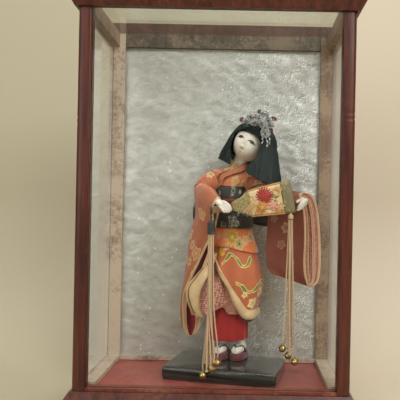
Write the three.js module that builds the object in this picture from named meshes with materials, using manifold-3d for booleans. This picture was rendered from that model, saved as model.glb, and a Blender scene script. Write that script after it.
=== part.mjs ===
// A doll in a long-sleeved kimono, holding a decorated battledore, in a glazed lacquer case.
// Millimetres, +Z up, +X to the right seen from the front, the front facing -Y.
// The origin is on the surface that the case stands on, under the middle of the case.
import * as THREE from 'three';
import { mergeVertices } from 'three/addons/utils/BufferGeometryUtils.js';
import Module from 'manifold-3d';

const wasm = await Module();
wasm.setup();

// Clearances
const seatGap = 0.3; // between pieces that rest on each other
const slideGap = 0.4; // on each face of the sliding front pane

// Case
const caseWidth = 280; // outside of the posts
const frontRoom = 5; // stand to the posts' inner plane, in front
const backRoom = 3.5; // and behind
const plinthHeight = 16;
const flareHeight = 20;
const flareOut = 14; // how far plinth and cornice stand out from the posts
const bandHeight = 12; // upright band above the cornice's flare
const plinthWall = 16;
const deckThickness = 8;
const baseLip = 1.5; // ledge of the base round the posts
const floorThickness = 4;
const openingHeight = 382; // floor to the underside of the top rails
const railHeight = 16;
const cornerRound = 5; // outer corner of a post
const cornerChamfer = 1.4; // other corners of a post
const postSize = 13.5;
const sillHeight = 5;
const frontSillHeight = 3;
const sillInset = 7; // how far side sills and back posts reach inside the front posts
const paneThickness = 2;
const paneSetback = 4; // from the outer plane of the posts to the pane
const grooveDepth = 4; // pane grooves in posts and rails
const sillGroove = 2; // pane grooves in the sills
const boardThickness = 3;
const cardThickness = 1;
const headRailDrop = 7; // how much higher the front rails hang than the side rails
const corniceToe = 3; // width of the cornice's lower edge
const paneFingerEdge = 2; // how far the front pane stays below the cornice's top

// Stand and feet
const standLength = 126;
const standWidth = 72;
const standHeight = 14.5;
const standBevel = 2.2;
const standCorner = 3;
const standX = 12;
const standTurn = THREE.MathUtils.degToRad(-11.5);
const figureY = 18; // the figure's middle, behind the middle of the stand
const footSpread = 9.8; // half the distance between the feet
const footShift = 5;
const footTurn = THREE.MathUtils.degToRad(-20);
const footForward = 3; // feet in front of the figure's middle
const footLength = 27;
const footHalfWidth = 6.6;
const footHeight = 9.6;
const ankleRadius = 4.4;
const ankleBack = 0.22; // ankle behind the middle of the foot, as a share of its length
const soleHeight = 8;
const soleMargin = 2; // sole beyond the foot
const strapRadius = 1.1;

// Figure, levels above the top of the stand
const underskirtHem = 22.5;
const kimonoHem = 57;
const innerDrop = 4; // how far the inner kimono hangs below the kimono
const hipLevel = 88;
const waistLevel = 152;
const bustLevel = 185;
const shoulderLevel = 209;
const neckLevel = 223;
const obiHeight = 48;
const obiBelowWaist = 2;
const hemShift = 0.5; // sideways sway of the figure at each level
const hipShift = 7.8;
const waistShift = 5.2;
const bustShift = 2;
const shoulderShift = 4.5;
const neckShift = 9.5;
const hipHalfWidth = 15;
const hipHalfDepth = 9;
const waistHalfWidth = 14;
const waistHalfDepth = 9;
const chestHalfWidth = 12;
const chestHalfDepth = 8;
const neckRadius = 5.5;

// Garments
const clothThickness = 1.4;
const layerGap = 0.5;
const underFullness = 5; // air between a garment and what it is worn over, at the hips
const innerFullness = 3.2;
const kimonoFullness = 4.1;
const waistFullness = 0.2;
const hemDraw = 1.2; // how much a skirt draws in below the hips
const hemFlare = 1.5; // and how much the underskirt spreads again at its hem
const foldDepth = 0.9;
const foldCount = 9;
const hemBase = 63; // lowest edge of the kimono, above the padded hem
const hemLift = 58; // how high the kimono is drawn up at its front left
const liftTurn = THREE.MathUtils.degToRad(-160);
const liftSpread = THREE.MathUtils.degToRad(115);
const lobeFlare = 23; // how far the inner kimono is drawn out at the front left
const lobeTop = 108;
const lobeTurn = THREE.MathUtils.degToRad(-146);
const lobeSpread = THREE.MathUtils.degToRad(46);
const notchHeight = 7; // parting between the two fronts of the inner kimono
const notchTurn = THREE.MathUtils.degToRad(-106);
const notchSpread = THREE.MathUtils.degToRad(18);
const turnedReach = 25; // how far the turned-back front stands out to the left
const turnedForward = 17; // and how far towards the front
const turnedFall = 60;
const turnedBulge = 5;
const hemRollThick = 5.6;
const hemRollThin = 2.2;
const hemRollFrom = THREE.MathUtils.degToRad(-138);
const hemRollTo = THREE.MathUtils.degToRad(20);
const shoulderHalfWidth = 28;
const shoulderHalfDepth = 13;
const shoulderDrop = 5; // the left shoulder hangs lower
const collarRadius = 3.2;
const obiThickness = 2.2;
const obiCordHeight = 3.2;
const obiCordThickness = 1.6;
const obiCordFacets = 24;
const bowHalfWidth = 40;
const bowHeight = 30;
const bowDepth = 9;
const bowKnotHalfWidth = 9;

// Arms and sleeves
const elbowOut = 18; // elbow beyond the right shoulder joint
const leftElbowOut = 35; // and beyond the left one
const shoulderInset = 9; // shoulder joint inside the bodice's edge
const elbowForward = 11;
const elbowDrop = 14;
const wristRadius = 4.2;
const handRadius = 5.8;
const fingerRadius = 3;
const sleeveShoulderRadius = 13.5;
const sleeveElbowRadius = 11;
const cuffRadius = 8.6;
const sleeveWall = 1.6;
const rightSleeveDrop = 153; // elbow to tip
const rightFootOut = 17; // lower end of the right sleeve, outwards
const rightFootBack = 22; // and backwards
const leftSleeveDrop = 96;
const rightSleeveHalf = 19; // half the width of the hanging sleeve
const leftSleeveHalf = 29.5;
const sleeveHalfThick = 5.5;

// Head
const headHalfWidth = 19;
const headHalfDepth = 20;
const headHalfHeight = 20.5;
const headRise = 20; // head's middle above the neck level
const headShift = 16; // head's middle to the right of the neck
const headForward = 8;
const headTilt = THREE.MathUtils.degToRad(21);
const headTurn = THREE.MathUtils.degToRad(-25);
const hairThickness = 8;
const hairFall = 32; // head's middle to the hair's lower edge
const hairLean = 5; // how far its lower edge leans to the right
const hairSpread = 15; // how much wider the hair is at its lower edge than at the head
const faceHalfWidth = 15.5;
const hairline = 14; // head's middle to the hairline
const blossomRadius = 6.5;
const blossomDepth = 1.6;
const blossomCount = 6;
const blossomStem = 10; // how far a blossom stands off the hair
const combRadius = 1.3; // wire that the blossoms stand on
const garlandFrom = THREE.MathUtils.degToRad(-40);
const garlandTo = THREE.MathUtils.degToRad(52);

// Battledore
const bladeLength = 48;
const bladeEndWidth = 35;
const bladeNeckWidth = 27;
const bladeThickness = 4;
const handleLength = 42;
const handleWidth = 7;
const bladeShoulder = 9;
const bladeReach = 69; // the blade's end to the right of the middle of the stand
const bladeForward = 27; // the blade's end in front of it
const bladeLevel = 187; // and above it
const bladeYaw = THREE.MathUtils.degToRad(10.5);
const bladePitch = THREE.MathUtils.degToRad(-9);

// Tassels
const strandDiameter = 1.6;
const strandSides = 8;
const strandSteps = 6;
const bellDiameter = 8;
const bellSlit = 0.8;
const capDiameter = 8.4;
const capLength = 14.5;
const capNeck = 2.4; // cord that the cap hangs by
const capDrop = 10; // length of that cord
const knotDiameter = 6;
const knotLength = 7;
const rootThickness = 1.6;
const frontStrandReach = 150; // cap to the lowest bell
const sideStrandReach = 155;
const bellStagger = 8; // difference in height from bell to bell

// Sizes that follow from these
const standSpan = standLength * Math.abs(Math.sin(standTurn)) + standWidth * Math.cos(standTurn);
const standY = (frontRoom - backRoom) / 2;
const innerDepth = standSpan + frontRoom + backRoom;
const caseDepth = innerDepth + 2 * postSize;
const baseTop = plinthHeight + flareHeight;
const floorTop = baseTop - seatGap;
const railBottom = baseTop + openingHeight;
const railTop = railBottom + railHeight;
const corniceBottom = railBottom + headRailDrop / 2;
const corniceTop = corniceBottom + flareHeight + bandHeight;
const innerWidth = caseWidth - 2 * postSize;
const backPostWidth = postSize + sillInset;
const backWidth = caseWidth - 2 * backPostWidth;
const grooveWidth = paneThickness + 2 * slideGap;
const paneReach = 2 * (grooveDepth - slideGap);
const backGroove = boardThickness + cardThickness + 3 * seatGap;

const object = new THREE.Group();
const alongX = new THREE.Vector3(1, 0, 0);
const alongY = new THREE.Vector3(0, 1, 0);
const alongZ = new THREE.Vector3(0, 0, 1);

// Finishes
const finish = (color, roughness, metalness = 0) => new THREE.MeshStandardMaterial(
  { color, roughness, metalness },
);
const lacquer = finish(0x4a281c, 0.35);
const floorRed = finish(0x86382e, 0.5);
const silverPaper = finish(0xb4b8b8, 0.35, 0.6);
const ply = finish(0x8a6a48, 0.7);
const glass = new THREE.MeshStandardMaterial(
  { color: 0xdfeaea, roughness: 0.05, transparent: true, opacity: 0.3 },
);
const blackLacquer = finish(0x1c211e, 0.15);
const burgundy = finish(0x5f2330, 0.5);
const whitePaint = finish(0xe6ddd0, 0.45);
const orangeSilk = finish(0xc8703f, 0.6);
const brickSilk = finish(0x7b3a26, 0.6);
const redSilk = finish(0x8e1d1f, 0.6);
const pinkSilk = finish(0xb98a80, 0.7);
const creamSilk = finish(0xdcc9a2, 0.65);
const goldBrocade = finish(0xb08a55, 0.6);
const darkBrocade = finish(0x2d2c24, 0.6);
const bodyStraw = finish(0xbfa06a, 0.9);
const blackHair = finish(0x191d1b, 0.45);
const silverFoil = finish(0xb9bcc0, 0.3, 0.8);
const paintedBoard = finish(0xd8c394, 0.6);
const cordSilk = finish(0xcfa77e, 0.7);
const blackThread = finish(0x15140f, 0.7);
const brass = finish(0xb8923f, 0.3, 0.9);

// Geometry from corners and faces, turned so that its faces point out
function facingOut(corners, faces) {
  let volume = 0;
  for (let face = 0; face < faces.length; face += 3) {
    const [a, b, c] = [corners[faces[face]], corners[faces[face + 1]], corners[faces[face + 2]]];
    volume += a.dot(b.clone().cross(c));
  }
  if (volume < 0) {
    faces.reverse();
  }
  const geometry = new THREE.BufferGeometry();
  geometry.setAttribute(
    'position', new THREE.Float32BufferAttribute(corners.flatMap((corner) => corner.toArray()), 3),
  );
  geometry.setIndex(faces);
  return geometry;
}

// Faces between the rings of a stack, the last ring joined to the first where the stack closes on itself
function ringFaces(ringCount, count, closes) {
  const faces = [];
  const spans = closes ? ringCount : ringCount - 1;
  for (let level = 0; level < spans; level++) {
    const above = (level + 1) % ringCount;
    for (let step = 0; step < count; step++) {
      const next = (step + 1) % count;
      const [a, b] = [level * count + step, level * count + next];
      const [c, d] = [above * count + next, above * count + step];
      faces.push(a, b, c, a, c, d);
    }
  }
  return faces;
}

// Solid through a stack of rings, its ends filled by a fan each
function ringLoft(rings) {
  const count = rings[0].length;
  const corners = rings.flat();
  const faces = ringFaces(rings.length, count, false);
  const last = rings.length - 1;
  [0, last].forEach((level) => {
    const middle = new THREE.Vector3();
    rings[level].forEach((corner) => middle.addScaledVector(corner, 1 / count));
    const hub = corners.push(middle) - 1;
    for (let step = 0; step < count; step++) {
      const pair = [level * count + step, level * count + ((step + 1) % count)];
      if (level === 0) {
        pair.reverse();
      }
      faces.push(hub, ...pair);
    }
  });
  return facingOut(corners, faces);
}

// Tube with a wall: outer rings from the top down, inner rings from the bottom up
function wallLoft(outer, inner) {
  const rings = [...outer, ...inner.slice().reverse()];
  return facingOut(rings.flat(), ringFaces(rings.length, rings[0].length, true));
}

// Thin solid over a surface of two parameters, thickened to both sides of it
function sheetSolid(surface, thickness, across, along) {
  const reach = 1e-3;
  const sides = [1, -1].map((side) => {
    const grid = [];
    for (let v = 0; v <= along; v++) {
      for (let u = 0; u <= across; u++) {
        const [s, t] = [u / across, v / along];
        const here = surface(s, t);
        const du = surface(s + reach, t).sub(surface(s - reach, t));
        const dv = surface(s, t + reach).sub(surface(s, t - reach));
        grid.push(here.addScaledVector(du.cross(dv).normalize(), (side * thickness) / 2));
      }
    }
    return grid;
  });
  const size = sides[0].length;
  const at = (u, v) => v * (across + 1) + u;
  const faces = [];
  const quad = (a, b, c, d) => faces.push(a, b, c, a, c, d);
  for (let v = 0; v < along; v++) {
    for (let u = 0; u < across; u++) {
      quad(at(u, v), at(u + 1, v), at(u + 1, v + 1), at(u, v + 1));
      quad(size + at(u, v + 1), size + at(u + 1, v + 1), size + at(u + 1, v), size + at(u, v));
    }
    quad(at(0, v), at(0, v + 1), size + at(0, v + 1), size + at(0, v));
    quad(at(across, v + 1), at(across, v), size + at(across, v), size + at(across, v + 1));
  }
  for (let u = 0; u < across; u++) {
    quad(at(u + 1, 0), at(u, 0), size + at(u, 0), size + at(u + 1, 0));
    quad(at(u, along), at(u + 1, along), size + at(u + 1, along), size + at(u, along));
  }
  return facingOut(sides.flat(), faces);
}

// Ring of points round a middle, its half sizes and its two directions
function ovalRing(middle, halfA, halfB, dirA, dirB, count) {
  return Array.from({ length: count }, (_, step) => {
    const turn = (2 * Math.PI * step) / count;
    const place = middle.clone().addScaledVector(dirA, halfA * Math.cos(turn));
    return place.addScaledVector(dirB, halfB * Math.sin(turn));
  });
}

// Limb of changing radius along a curve
function limb(points, radii, grow = 0, sides = 12, steps = 10) {
  const curve = new THREE.CatmullRomCurve3(points);
  const frames = curve.computeFrenetFrames(steps);
  const rings = Array.from({ length: steps + 1 }, (_, step) => {
    const along = step / steps;
    const radius = stationAt(
      radii.map((value, index) => [index / (radii.length - 1), value]), along,
    ) + grow;
    return ovalRing(
      curve.getPointAt(along), radius, radius, frames.normals[step], frames.binormals[step], sides,
    );
  });
  return ringLoft(rings);
}

// Value between stations given as pairs of place and value, eased from one to the next
function stationAt(stations, place) {
  const last = stations.length - 1;
  if (place <= stations[0][0]) {
    return stations[0][1];
  }
  if (place >= stations[last][0]) {
    return stations[last][1];
  }
  const upper = stations.findIndex((station) => station[0] >= place);
  const [[from, low], [to, high]] = [stations[upper - 1], stations[upper]];
  return THREE.MathUtils.lerp(low, high, THREE.MathUtils.smoothstep(place, from, to));
}

// Raised cosine round a turn, 1 at its middle and 0 past its spread
function swell(turn, middle, spread) {
  const offset = Math.abs(Math.atan2(Math.sin(turn - middle), Math.cos(turn - middle)));
  return offset < spread ? (1 + Math.cos((Math.PI * offset) / spread)) / 2 : 0;
}

function solidOf(geometry) {
  const bare = new THREE.BufferGeometry();
  bare.setAttribute('position', geometry.getAttribute('position'));
  bare.setIndex(geometry.index);
  const merged = mergeVertices(bare, 1e-4);
  const mesh = {
    numProp: 3,
    vertProperties: merged.attributes.position.array,
    triVerts: new Uint32Array(merged.index.array),
  };
  return new wasm.Manifold(new wasm.Mesh(mesh));
}

// Geometry of a solid, the largest piece where a cut left crumbs
function geometryOf(solid) {
  const pieces = solid.decompose().sort((a, b) => b.volume() - a.volume());
  const mesh = pieces[0].getMesh();
  const geometry = new THREE.BufferGeometry();
  geometry.setAttribute('position', new THREE.BufferAttribute(new Float32Array(mesh.vertProperties), 3));
  geometry.setIndex(new THREE.BufferAttribute(new Uint32Array(mesh.triVerts), 1));
  return geometry;
}

const joined = (...geometries) => geometryOf(
  geometries.map(solidOf).reduce((sum, solid) => sum.add(solid)),
);
const cut = (geometry, ...tools) => geometryOf(
  tools.map(solidOf).reduce((rest, tool) => rest.subtract(tool), solidOf(geometry)),
);

function piece(name, geometry, material, parent = object) {
  const mesh = new THREE.Mesh(geometry, material);
  mesh.name = name;
  parent.add(mesh);
  return mesh;
}

function box(width, depth, height, x, y, bottom) {
  return new THREE.BoxGeometry(width, depth, height).translate(x, y, bottom + height / 2);
}

// Profile of points in Y and Z carried along X, about the middle of its length
function bar(points, length) {
  const shape = new THREE.Shape(points.map(([y, z]) => new THREE.Vector2(y, z)));
  const geometry = new THREE.ExtrudeGeometry(shape, { depth: length, bevelEnabled: false });
  geometry.translate(0, 0, -length / 2);
  return geometry.applyMatrix4(new THREE.Matrix4().makeBasis(alongY, alongZ, alongX));
}

// Case sides: each has a frame whose -Y points out of the case
const sides = {
  front: { turn: 0, outer: caseDepth / 2, span: innerWidth },
  right: { turn: Math.PI / 2, outer: caseWidth / 2, span: innerDepth },
  back: { turn: Math.PI, outer: caseDepth / 2, span: backWidth },
  left: { turn: -Math.PI / 2, outer: caseWidth / 2, span: innerDepth },
};
for (const side of Object.values(sides)) {
  side.frame = new THREE.Group();
  side.frame.rotation.z = side.turn;
  object.add(side.frame);
}

function addBase() {
  const ring = (grow, z) => [[-1, -1], [1, -1], [1, 1], [-1, 1]].map(
    ([x, y]) => new THREE.Vector3(x * (caseWidth / 2 + grow), y * (caseDepth / 2 + grow), z),
  );
  const block = ringLoft([ring(flareOut, 0), ring(flareOut, plinthHeight), ring(baseLip, baseTop)]);
  const recess = floorThickness + 2 * seatGap;
  const hollow = baseTop - recess - deckThickness;
  const pocketGrow = flareOut - plinthWall;
  const pocket = ringLoft(
    [ring(pocketGrow, -1), ring(pocketGrow, plinthHeight / 2), ring(-postSize, hollow)],
  );
  const well = box(innerWidth, innerDepth, recess + 1, 0, 0, baseTop - recess);
  piece('base_plinth', cut(block, pocket, well), lacquer);
  const panel = box(
    innerWidth - 2 * seatGap, innerDepth - 2 * seatGap, floorThickness, 0, 0, floorTop - floorThickness,
  );
  piece('floor_panel', panel, floorRed);
}

// Post section in a corner's frame: u and v run inward from the two outer planes
function postSection(grooveV, grooveU, width) {
  const points = [];
  const arcSteps = 5;
  for (let step = 0; step <= arcSteps; step++) {
    const turn = (Math.PI / 2) * (step / arcSteps);
    points.push([cornerRound * (1 - Math.sin(turn)), cornerRound * (1 - Math.cos(turn))]);
  }
  points.push([0, postSize - cornerChamfer], [cornerChamfer, postSize]);
  points.push([grooveU[0], postSize], [grooveU[0], postSize - grooveDepth]);
  points.push([grooveU[1], postSize - grooveDepth], [grooveU[1], postSize]);
  points.push([width, postSize]);
  points.push([width, grooveV[1]], [width - grooveDepth, grooveV[1]]);
  points.push([width - grooveDepth, grooveV[0]], [width, grooveV[0]]);
  points.push([width, cornerChamfer], [width - cornerChamfer, 0]);
  return points;
}

function addPosts() {
  const paneGroove = [paneSetback - slideGap, paneSetback - slideGap + grooveWidth];
  const boardGroove = [paneSetback - seatGap, paneSetback - seatGap + backGroove];
  for (const [across, x] of [['left', -1], ['right', 1]]) {
    for (const [depth, y] of [['front', -1], ['back', 1]]) {
      const isFront = depth === 'front';
      const section = postSection(
        isFront ? paneGroove : boardGroove, paneGroove, isFront ? postSize : backPostWidth,
      );
      const shape = new THREE.Shape(
        section.map(([u, v]) => new THREE.Vector2(x * (caseWidth / 2 - u), y * (caseDepth / 2 - v))),
      );
      const post = new THREE.ExtrudeGeometry(
        shape, { depth: railTop - baseTop - seatGap, bevelEnabled: false },
      );
      piece(`${depth}_${across}_post`, post.translate(0, 0, baseTop + seatGap), lacquer);
    }
  }
}

// Rail profile with a pane groove: y from the outer plane inward, the groove in its top or underside
function groovedProfile(depth, bottom, height, groove, deep, grooveUp) {
  const top = bottom + height;
  const [from, to] = groove;
  if (grooveUp) {
    return [
      [0, bottom],
      [depth, bottom],
      [depth, top],
      [to, top],
      [to, top - deep],
      [from, top - deep],
      [from, top],
      [0, top],
    ];
  }
  return [
    [0, bottom],
    [from, bottom],
    [from, bottom + deep],
    [to, bottom + deep],
    [to, bottom],
    [depth, bottom],
    [depth, top],
    [0, top],
  ];
}

function addSillsAndRails() {
  const paneGroove = [paneSetback - slideGap, paneSetback - slideGap + grooveWidth];
  const boardGroove = [paneSetback - seatGap, paneSetback - seatGap + backGroove];
  for (const [name, side] of Object.entries(sides)) {
    const groove = name === 'back' ? boardGroove : paneGroove;
    const shifted = (points) => points.map(([y, z]) => [y - side.outer, z]);
    const length = side.span - 2 * seatGap;
    const isFront = name === 'front';
    const isSide = name === 'left' || name === 'right';
    const sillDepth = isSide ? postSize + sillInset : postSize;
    const height = isFront ? frontSillHeight : sillHeight;
    const sillBottom = baseTop + seatGap;
    const sill = bar(
      shifted(groovedProfile(sillDepth, sillBottom, height, groove, sillGroove, true)), length,
    );
    piece(`${name}_sill`, sill, lacquer, side.frame);
    if (isFront) {
      const headBottom = railBottom + headRailDrop;
      const headDepth = paneSetback - slideGap;
      const head = [[0, headBottom], [headDepth, headBottom], [headDepth, corniceTop], [0, corniceTop]];
      piece('front_head_rail', bar(shifted(head), length), lacquer, side.frame);
      const innerFrom = paneSetback + paneThickness + slideGap;
      const inner = [
        [innerFrom, headBottom], [postSize, headBottom], [postSize, railTop], [innerFrom, railTop],
      ];
      piece('front_inner_rail', bar(shifted(inner), length), lacquer, side.frame);
    } else {
      const rail = groovedProfile(postSize, railBottom, railHeight, groove, grooveDepth, false);
      piece(`${name}_top_rail`, bar(shifted(rail), length), lacquer, side.frame);
    }
  }
}

// Cornice moulding with mitred ends: the profile's reach outward lengthens the run as well
function addCornice() {
  const profile = [
    [seatGap, corniceBottom], [corniceToe, corniceBottom], [flareOut, corniceBottom + flareHeight],
    [flareOut, corniceTop], [seatGap, corniceTop],
  ];
  for (const [name, side] of Object.entries(sides)) {
    const half = name === 'front' || name === 'back' ? caseWidth / 2 : caseDepth / 2;
    const rings = [-1, 1].map((end) => profile.map(
      ([out, z]) => new THREE.Vector3(end * (half + out - seatGap / 2), -side.outer - out, z),
    ));
    piece(`cornice_${name}`, ringLoft(rings), lacquer, side.frame);
  }
}

function addPanes() {
  const sideSillGroove = baseTop + sillHeight - sillGroove + 2 * seatGap;
  const sidePaneTop = railBottom + grooveDepth - seatGap;
  const frontFoot = baseTop + frontSillHeight - sillGroove + 2 * seatGap;
  const frontPane = box(
    innerWidth + paneReach, paneThickness, corniceTop - paneFingerEdge - frontFoot,
    0, -caseDepth / 2 + paneSetback + paneThickness / 2, frontFoot,
  );
  piece('front_pane', frontPane, glass);
  for (const [name, x] of [['left', -1], ['right', 1]]) {
    const pane = box(
      paneThickness, innerDepth + paneReach, sidePaneTop - sideSillGroove,
      x * (caseWidth / 2 - paneSetback - paneThickness / 2), 0, sideSillGroove,
    );
    piece(`${name}_pane`, pane, glass);
  }
  const topFront = -caseDepth / 2 + paneSetback + paneThickness + 2 * slideGap;
  const topBack = caseDepth / 2 - paneSetback;
  const topPane = box(
    caseWidth - 2 * paneSetback, topBack - topFront, paneThickness,
    0, (topFront + topBack) / 2, railTop + seatGap,
  );
  piece('top_pane', topPane, glass);
  const backOuter = caseDepth / 2 - paneSetback;
  const sheet = (thickness, y) => box(
    backWidth + paneReach, thickness, sidePaneTop - sideSillGroove, 0, y, sideSillGroove,
  );
  piece('back_board', sheet(boardThickness, backOuter - boardThickness / 2), ply);
  piece(
    'silver_card',
    sheet(cardThickness, backOuter - boardThickness - seatGap - cardThickness / 2),
    silverPaper,
  );
}

// Doll: its frame stands on the middle of the stand's top
const doll = new THREE.Group();
doll.position.set(standX, standY, floorTop + seatGap + standHeight);
object.add(doll);

function addStand() {
  const ring = (inset, z) => {
    const corner = Math.max(standCorner - inset, 0.5);
    const [halfX, halfY] = [standLength / 2 - inset - corner, standWidth / 2 - inset - corner];
    const cornerSteps = 3;
    return [[1, 1, 0], [-1, 1, 1], [-1, -1, 2], [1, -1, 3]].flatMap(([x, y, quarter]) => (
      Array.from({ length: cornerSteps + 1 }, (_, step) => {
        const turn = (Math.PI / 2) * (quarter + step / cornerSteps);
        return new THREE.Vector3(
          x * halfX + corner * Math.cos(turn), y * halfY + corner * Math.sin(turn), z,
        );
      })
    ));
  };
  const stand = ringLoft([ring(0, -standHeight), ring(0, -standBevel), ring(standBevel, -seatGap)]);
  piece('stand', stand, blackLacquer, doll).rotation.z = standTurn;
}

// Figure under the clothes: sideways sway and half sizes by level
const swayAt = (z) => stationAt([
  [underskirtHem, hemShift],
  [hipLevel, hipShift],
  [waistLevel, waistShift],
  [bustLevel, bustShift],
  [shoulderLevel, shoulderShift],
  [neckLevel, neckShift],
], z);
const coreWidthAt = (z) => stationAt(
  [[hipLevel, hipHalfWidth], [waistLevel, waistHalfWidth], [bustLevel, chestHalfWidth]], z,
);
const coreDepthAt = (z) => stationAt(
  [[hipLevel, hipHalfDepth], [waistLevel, waistHalfDepth], [bustLevel, chestHalfDepth]], z,
);

function bodyCore(grow) {
  const levels = 8;
  const [low, high] = [hipLevel + seatGap - grow, shoulderLevel + grow];
  const rings = Array.from({ length: levels + 1 }, (_, step) => {
    const z = THREE.MathUtils.lerp(low, high, step / levels);
    const middle = new THREE.Vector3(swayAt(z), figureY, z);
    return ovalRing(middle, coreWidthAt(z) + grow, coreDepthAt(z) + grow, alongX, alongY, 20);
  });
  return ringLoft(rings);
}

// Skirts: each garment's inside lies a gap and its fullness outside the one that it is worn over
const fullnessAt = (hips) => (z) => stationAt([
  [underskirtHem, hips + hemFlare], [kimonoHem, hips - hemDraw], [hipLevel, hips],
  [waistLevel, waistFullness],
], z);
const skirts = [];
[underFullness, innerFullness, kimonoFullness].forEach((hips, index) => {
  const fullness = fullnessAt(hips);
  const below = index ? skirts[index - 1].outer : () => 0;
  const inner = (z) => below(z) + layerGap + fullness(z);
  skirts.push({ inner, outer: (z) => inner(z) + clothThickness });
});
const [underskirt, innerKimono, kimono] = skirts;

// Folds and the drawn-out left front move every garment alike, so that the layers stay apart
const foldAt = (turn, z) => {
  const fade = 1 - THREE.MathUtils.smoothstep(z, hipLevel, waistLevel);
  return fade * foldDepth * Math.cos(foldCount * turn);
};
const lobeAt = (turn, z) => {
  const fade = 1 - THREE.MathUtils.smoothstep(z, kimonoHem, lobeTop);
  return fade * lobeFlare * swell(turn, lobeTurn, lobeSpread);
};

function skirtPoint(turn, z, offset, lobed) {
  const reach = offset + foldAt(turn, z) + (lobed ? lobeAt(turn, z) : 0);
  const x = swayAt(z) + (coreWidthAt(z) + reach) * Math.cos(turn);
  const y = figureY + (coreDepthAt(z) + reach) * Math.sin(turn);
  return new THREE.Vector3(x, y, z);
}

function skirtShell(layer, hemAt, { lobed = true, grow = 0, around = 32, down = 7 } = {}) {
  const wall = (offsetAt, hemGrow) => Array.from({ length: down + 1 }, (_, level) => (
    Array.from({ length: around }, (_, step) => {
      const turn = (2 * Math.PI * step) / around;
      const z = THREE.MathUtils.lerp(waistLevel + grow, hemAt(turn) - hemGrow, level / down);
      return skirtPoint(turn, z, offsetAt(z), lobed);
    })
  ));
  return wallLoft(wall((z) => layer.outer(z) + grow, grow), wall((z) => layer.inner(z) - grow, grow));
}

const kimonoHemAt = (turn) => hemBase + hemLift * swell(turn, liftTurn, liftSpread);
const innerHemAt = (turn) => kimonoHem - innerDrop + notchHeight * swell(turn, notchTurn, notchSpread);

// Padded roll that edges the kimono's hem, thickest at the low right
function hemRoll(grow) {
  const count = 26;
  const middleAt = (turn) => {
    const z = kimonoHemAt(turn);
    return skirtPoint(turn, z, kimono.outer(z) - clothThickness / 2, true);
  };
  const rings = Array.from({ length: count + 1 }, (_, step) => {
    const share = step / count;
    const turn = THREE.MathUtils.lerp(hemRollFrom, hemRollTo, share);
    const nearby = 0.01;
    const run = middleAt(turn + nearby).sub(middleAt(turn - nearby)).normalize();
    const down = alongZ.clone().addScaledVector(run, -alongZ.dot(run)).normalize().negate();
    const out = run.clone().cross(down).normalize();
    const radius = THREE.MathUtils.lerp(hemRollThin, hemRollThick, Math.sqrt(share));
    const middle = middleAt(turn).addScaledVector(down, radius + 2 * seatGap);
    return ovalRing(middle, radius + grow, radius * 0.8 + grow, down, out, 10);
  });
  return ringLoft(rings);
}

// Front panel of the kimono turned back at the left, so that its lining shows
function turnedFront() {
  const top = skirtPoint(hemRollFrom, hemBase + hemLift, kimono.outer(hipLevel), false);
  const outerTop = new THREE.Vector3(top.x - turnedReach, top.y - turnedForward, top.z - turnedFall * 0.55);
  const outerFoot = new THREE.Vector3(
    top.x - turnedReach * 0.62, top.y - turnedForward * 1.2, top.z - turnedFall,
  );
  const foot = new THREE.Vector3(
    top.x - turnedReach * 0.1, top.y - turnedForward * 1.2, top.z - turnedFall * 0.8,
  );
  return (u, v) => {
    const upper = top.clone().lerp(outerTop, u);
    const lower = foot.clone().lerp(outerFoot, u);
    const bulge = turnedBulge * Math.sin(Math.PI * u) * Math.sin(Math.PI * (0.2 + 0.8 * v));
    return upper.lerp(lower, v).add(new THREE.Vector3(0, -bulge, 0));
  };
}

const turnedSolid = (grow) => sheetSolid(turnedFront(), clothThickness + 2 * grow, 8, 6);

function addSkirts() {
  const plainHem = () => underskirtHem;
  piece(
    'underskirt', skirtShell(underskirt, plainHem, { lobed: false, around: 28, down: 4 }), redSilk, doll,
  );
  piece('inner_kimono', skirtShell(innerKimono, innerHemAt), pinkSilk, doll);
  piece('kimono_skirt', skirtShell(kimono, kimonoHemAt), orangeSilk, doll);
  const innerGrown = skirtShell(innerKimono, innerHemAt, { grow: seatGap });
  const kimonoGrown = skirtShell(kimono, kimonoHemAt, { grow: seatGap });
  const roll = cut(hemRoll(0), innerGrown, kimonoGrown);
  piece('padded_hem', roll, creamSilk, doll);
  piece('turned_front', cut(turnedSolid(0), innerGrown, kimonoGrown, hemRoll(seatGap)), creamSilk, doll);
}

// Bodice outside: follows the skirt's waist below and opens to the shoulders
const bodiceBottom = waistLevel + seatGap;
const waistOuter = kimono.outer(waistLevel);
const bodiceWidthAt = (z) => stationAt([
  [bodiceBottom, waistHalfWidth + waistOuter], [bustLevel, chestHalfWidth + waistOuter - layerGap],
  [waistLevel - obiBelowWaist + obiHeight, chestHalfWidth + waistOuter],
  [shoulderLevel, shoulderHalfWidth], [neckLevel, neckRadius + 2 * clothThickness],
], z);
const bodiceDepthAt = (z) => stationAt([
  [bodiceBottom, waistHalfDepth + waistOuter], [bustLevel, chestHalfDepth + waistOuter - layerGap],
  [shoulderLevel, shoulderHalfDepth], [neckLevel, neckRadius + 2 * clothThickness],
], z);

// Slope of the shoulders, at its steepest on their level
const slopeAt = (z) => {
  const rise = THREE.MathUtils.smoothstep(z, bustLevel + obiHeight / 4, shoulderLevel);
  const settle = 1 - THREE.MathUtils.smoothstep(z, shoulderLevel, neckLevel);
  return (rise * settle * shoulderDrop) / shoulderHalfWidth;
};

function bodicePoint(turn, z, grow) {
  const across = (bodiceWidthAt(z) + grow) * Math.cos(turn);
  const y = figureY + (bodiceDepthAt(z) + grow) * Math.sin(turn);
  return new THREE.Vector3(swayAt(z) + across, y, z - slopeAt(z) * across);
}

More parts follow.
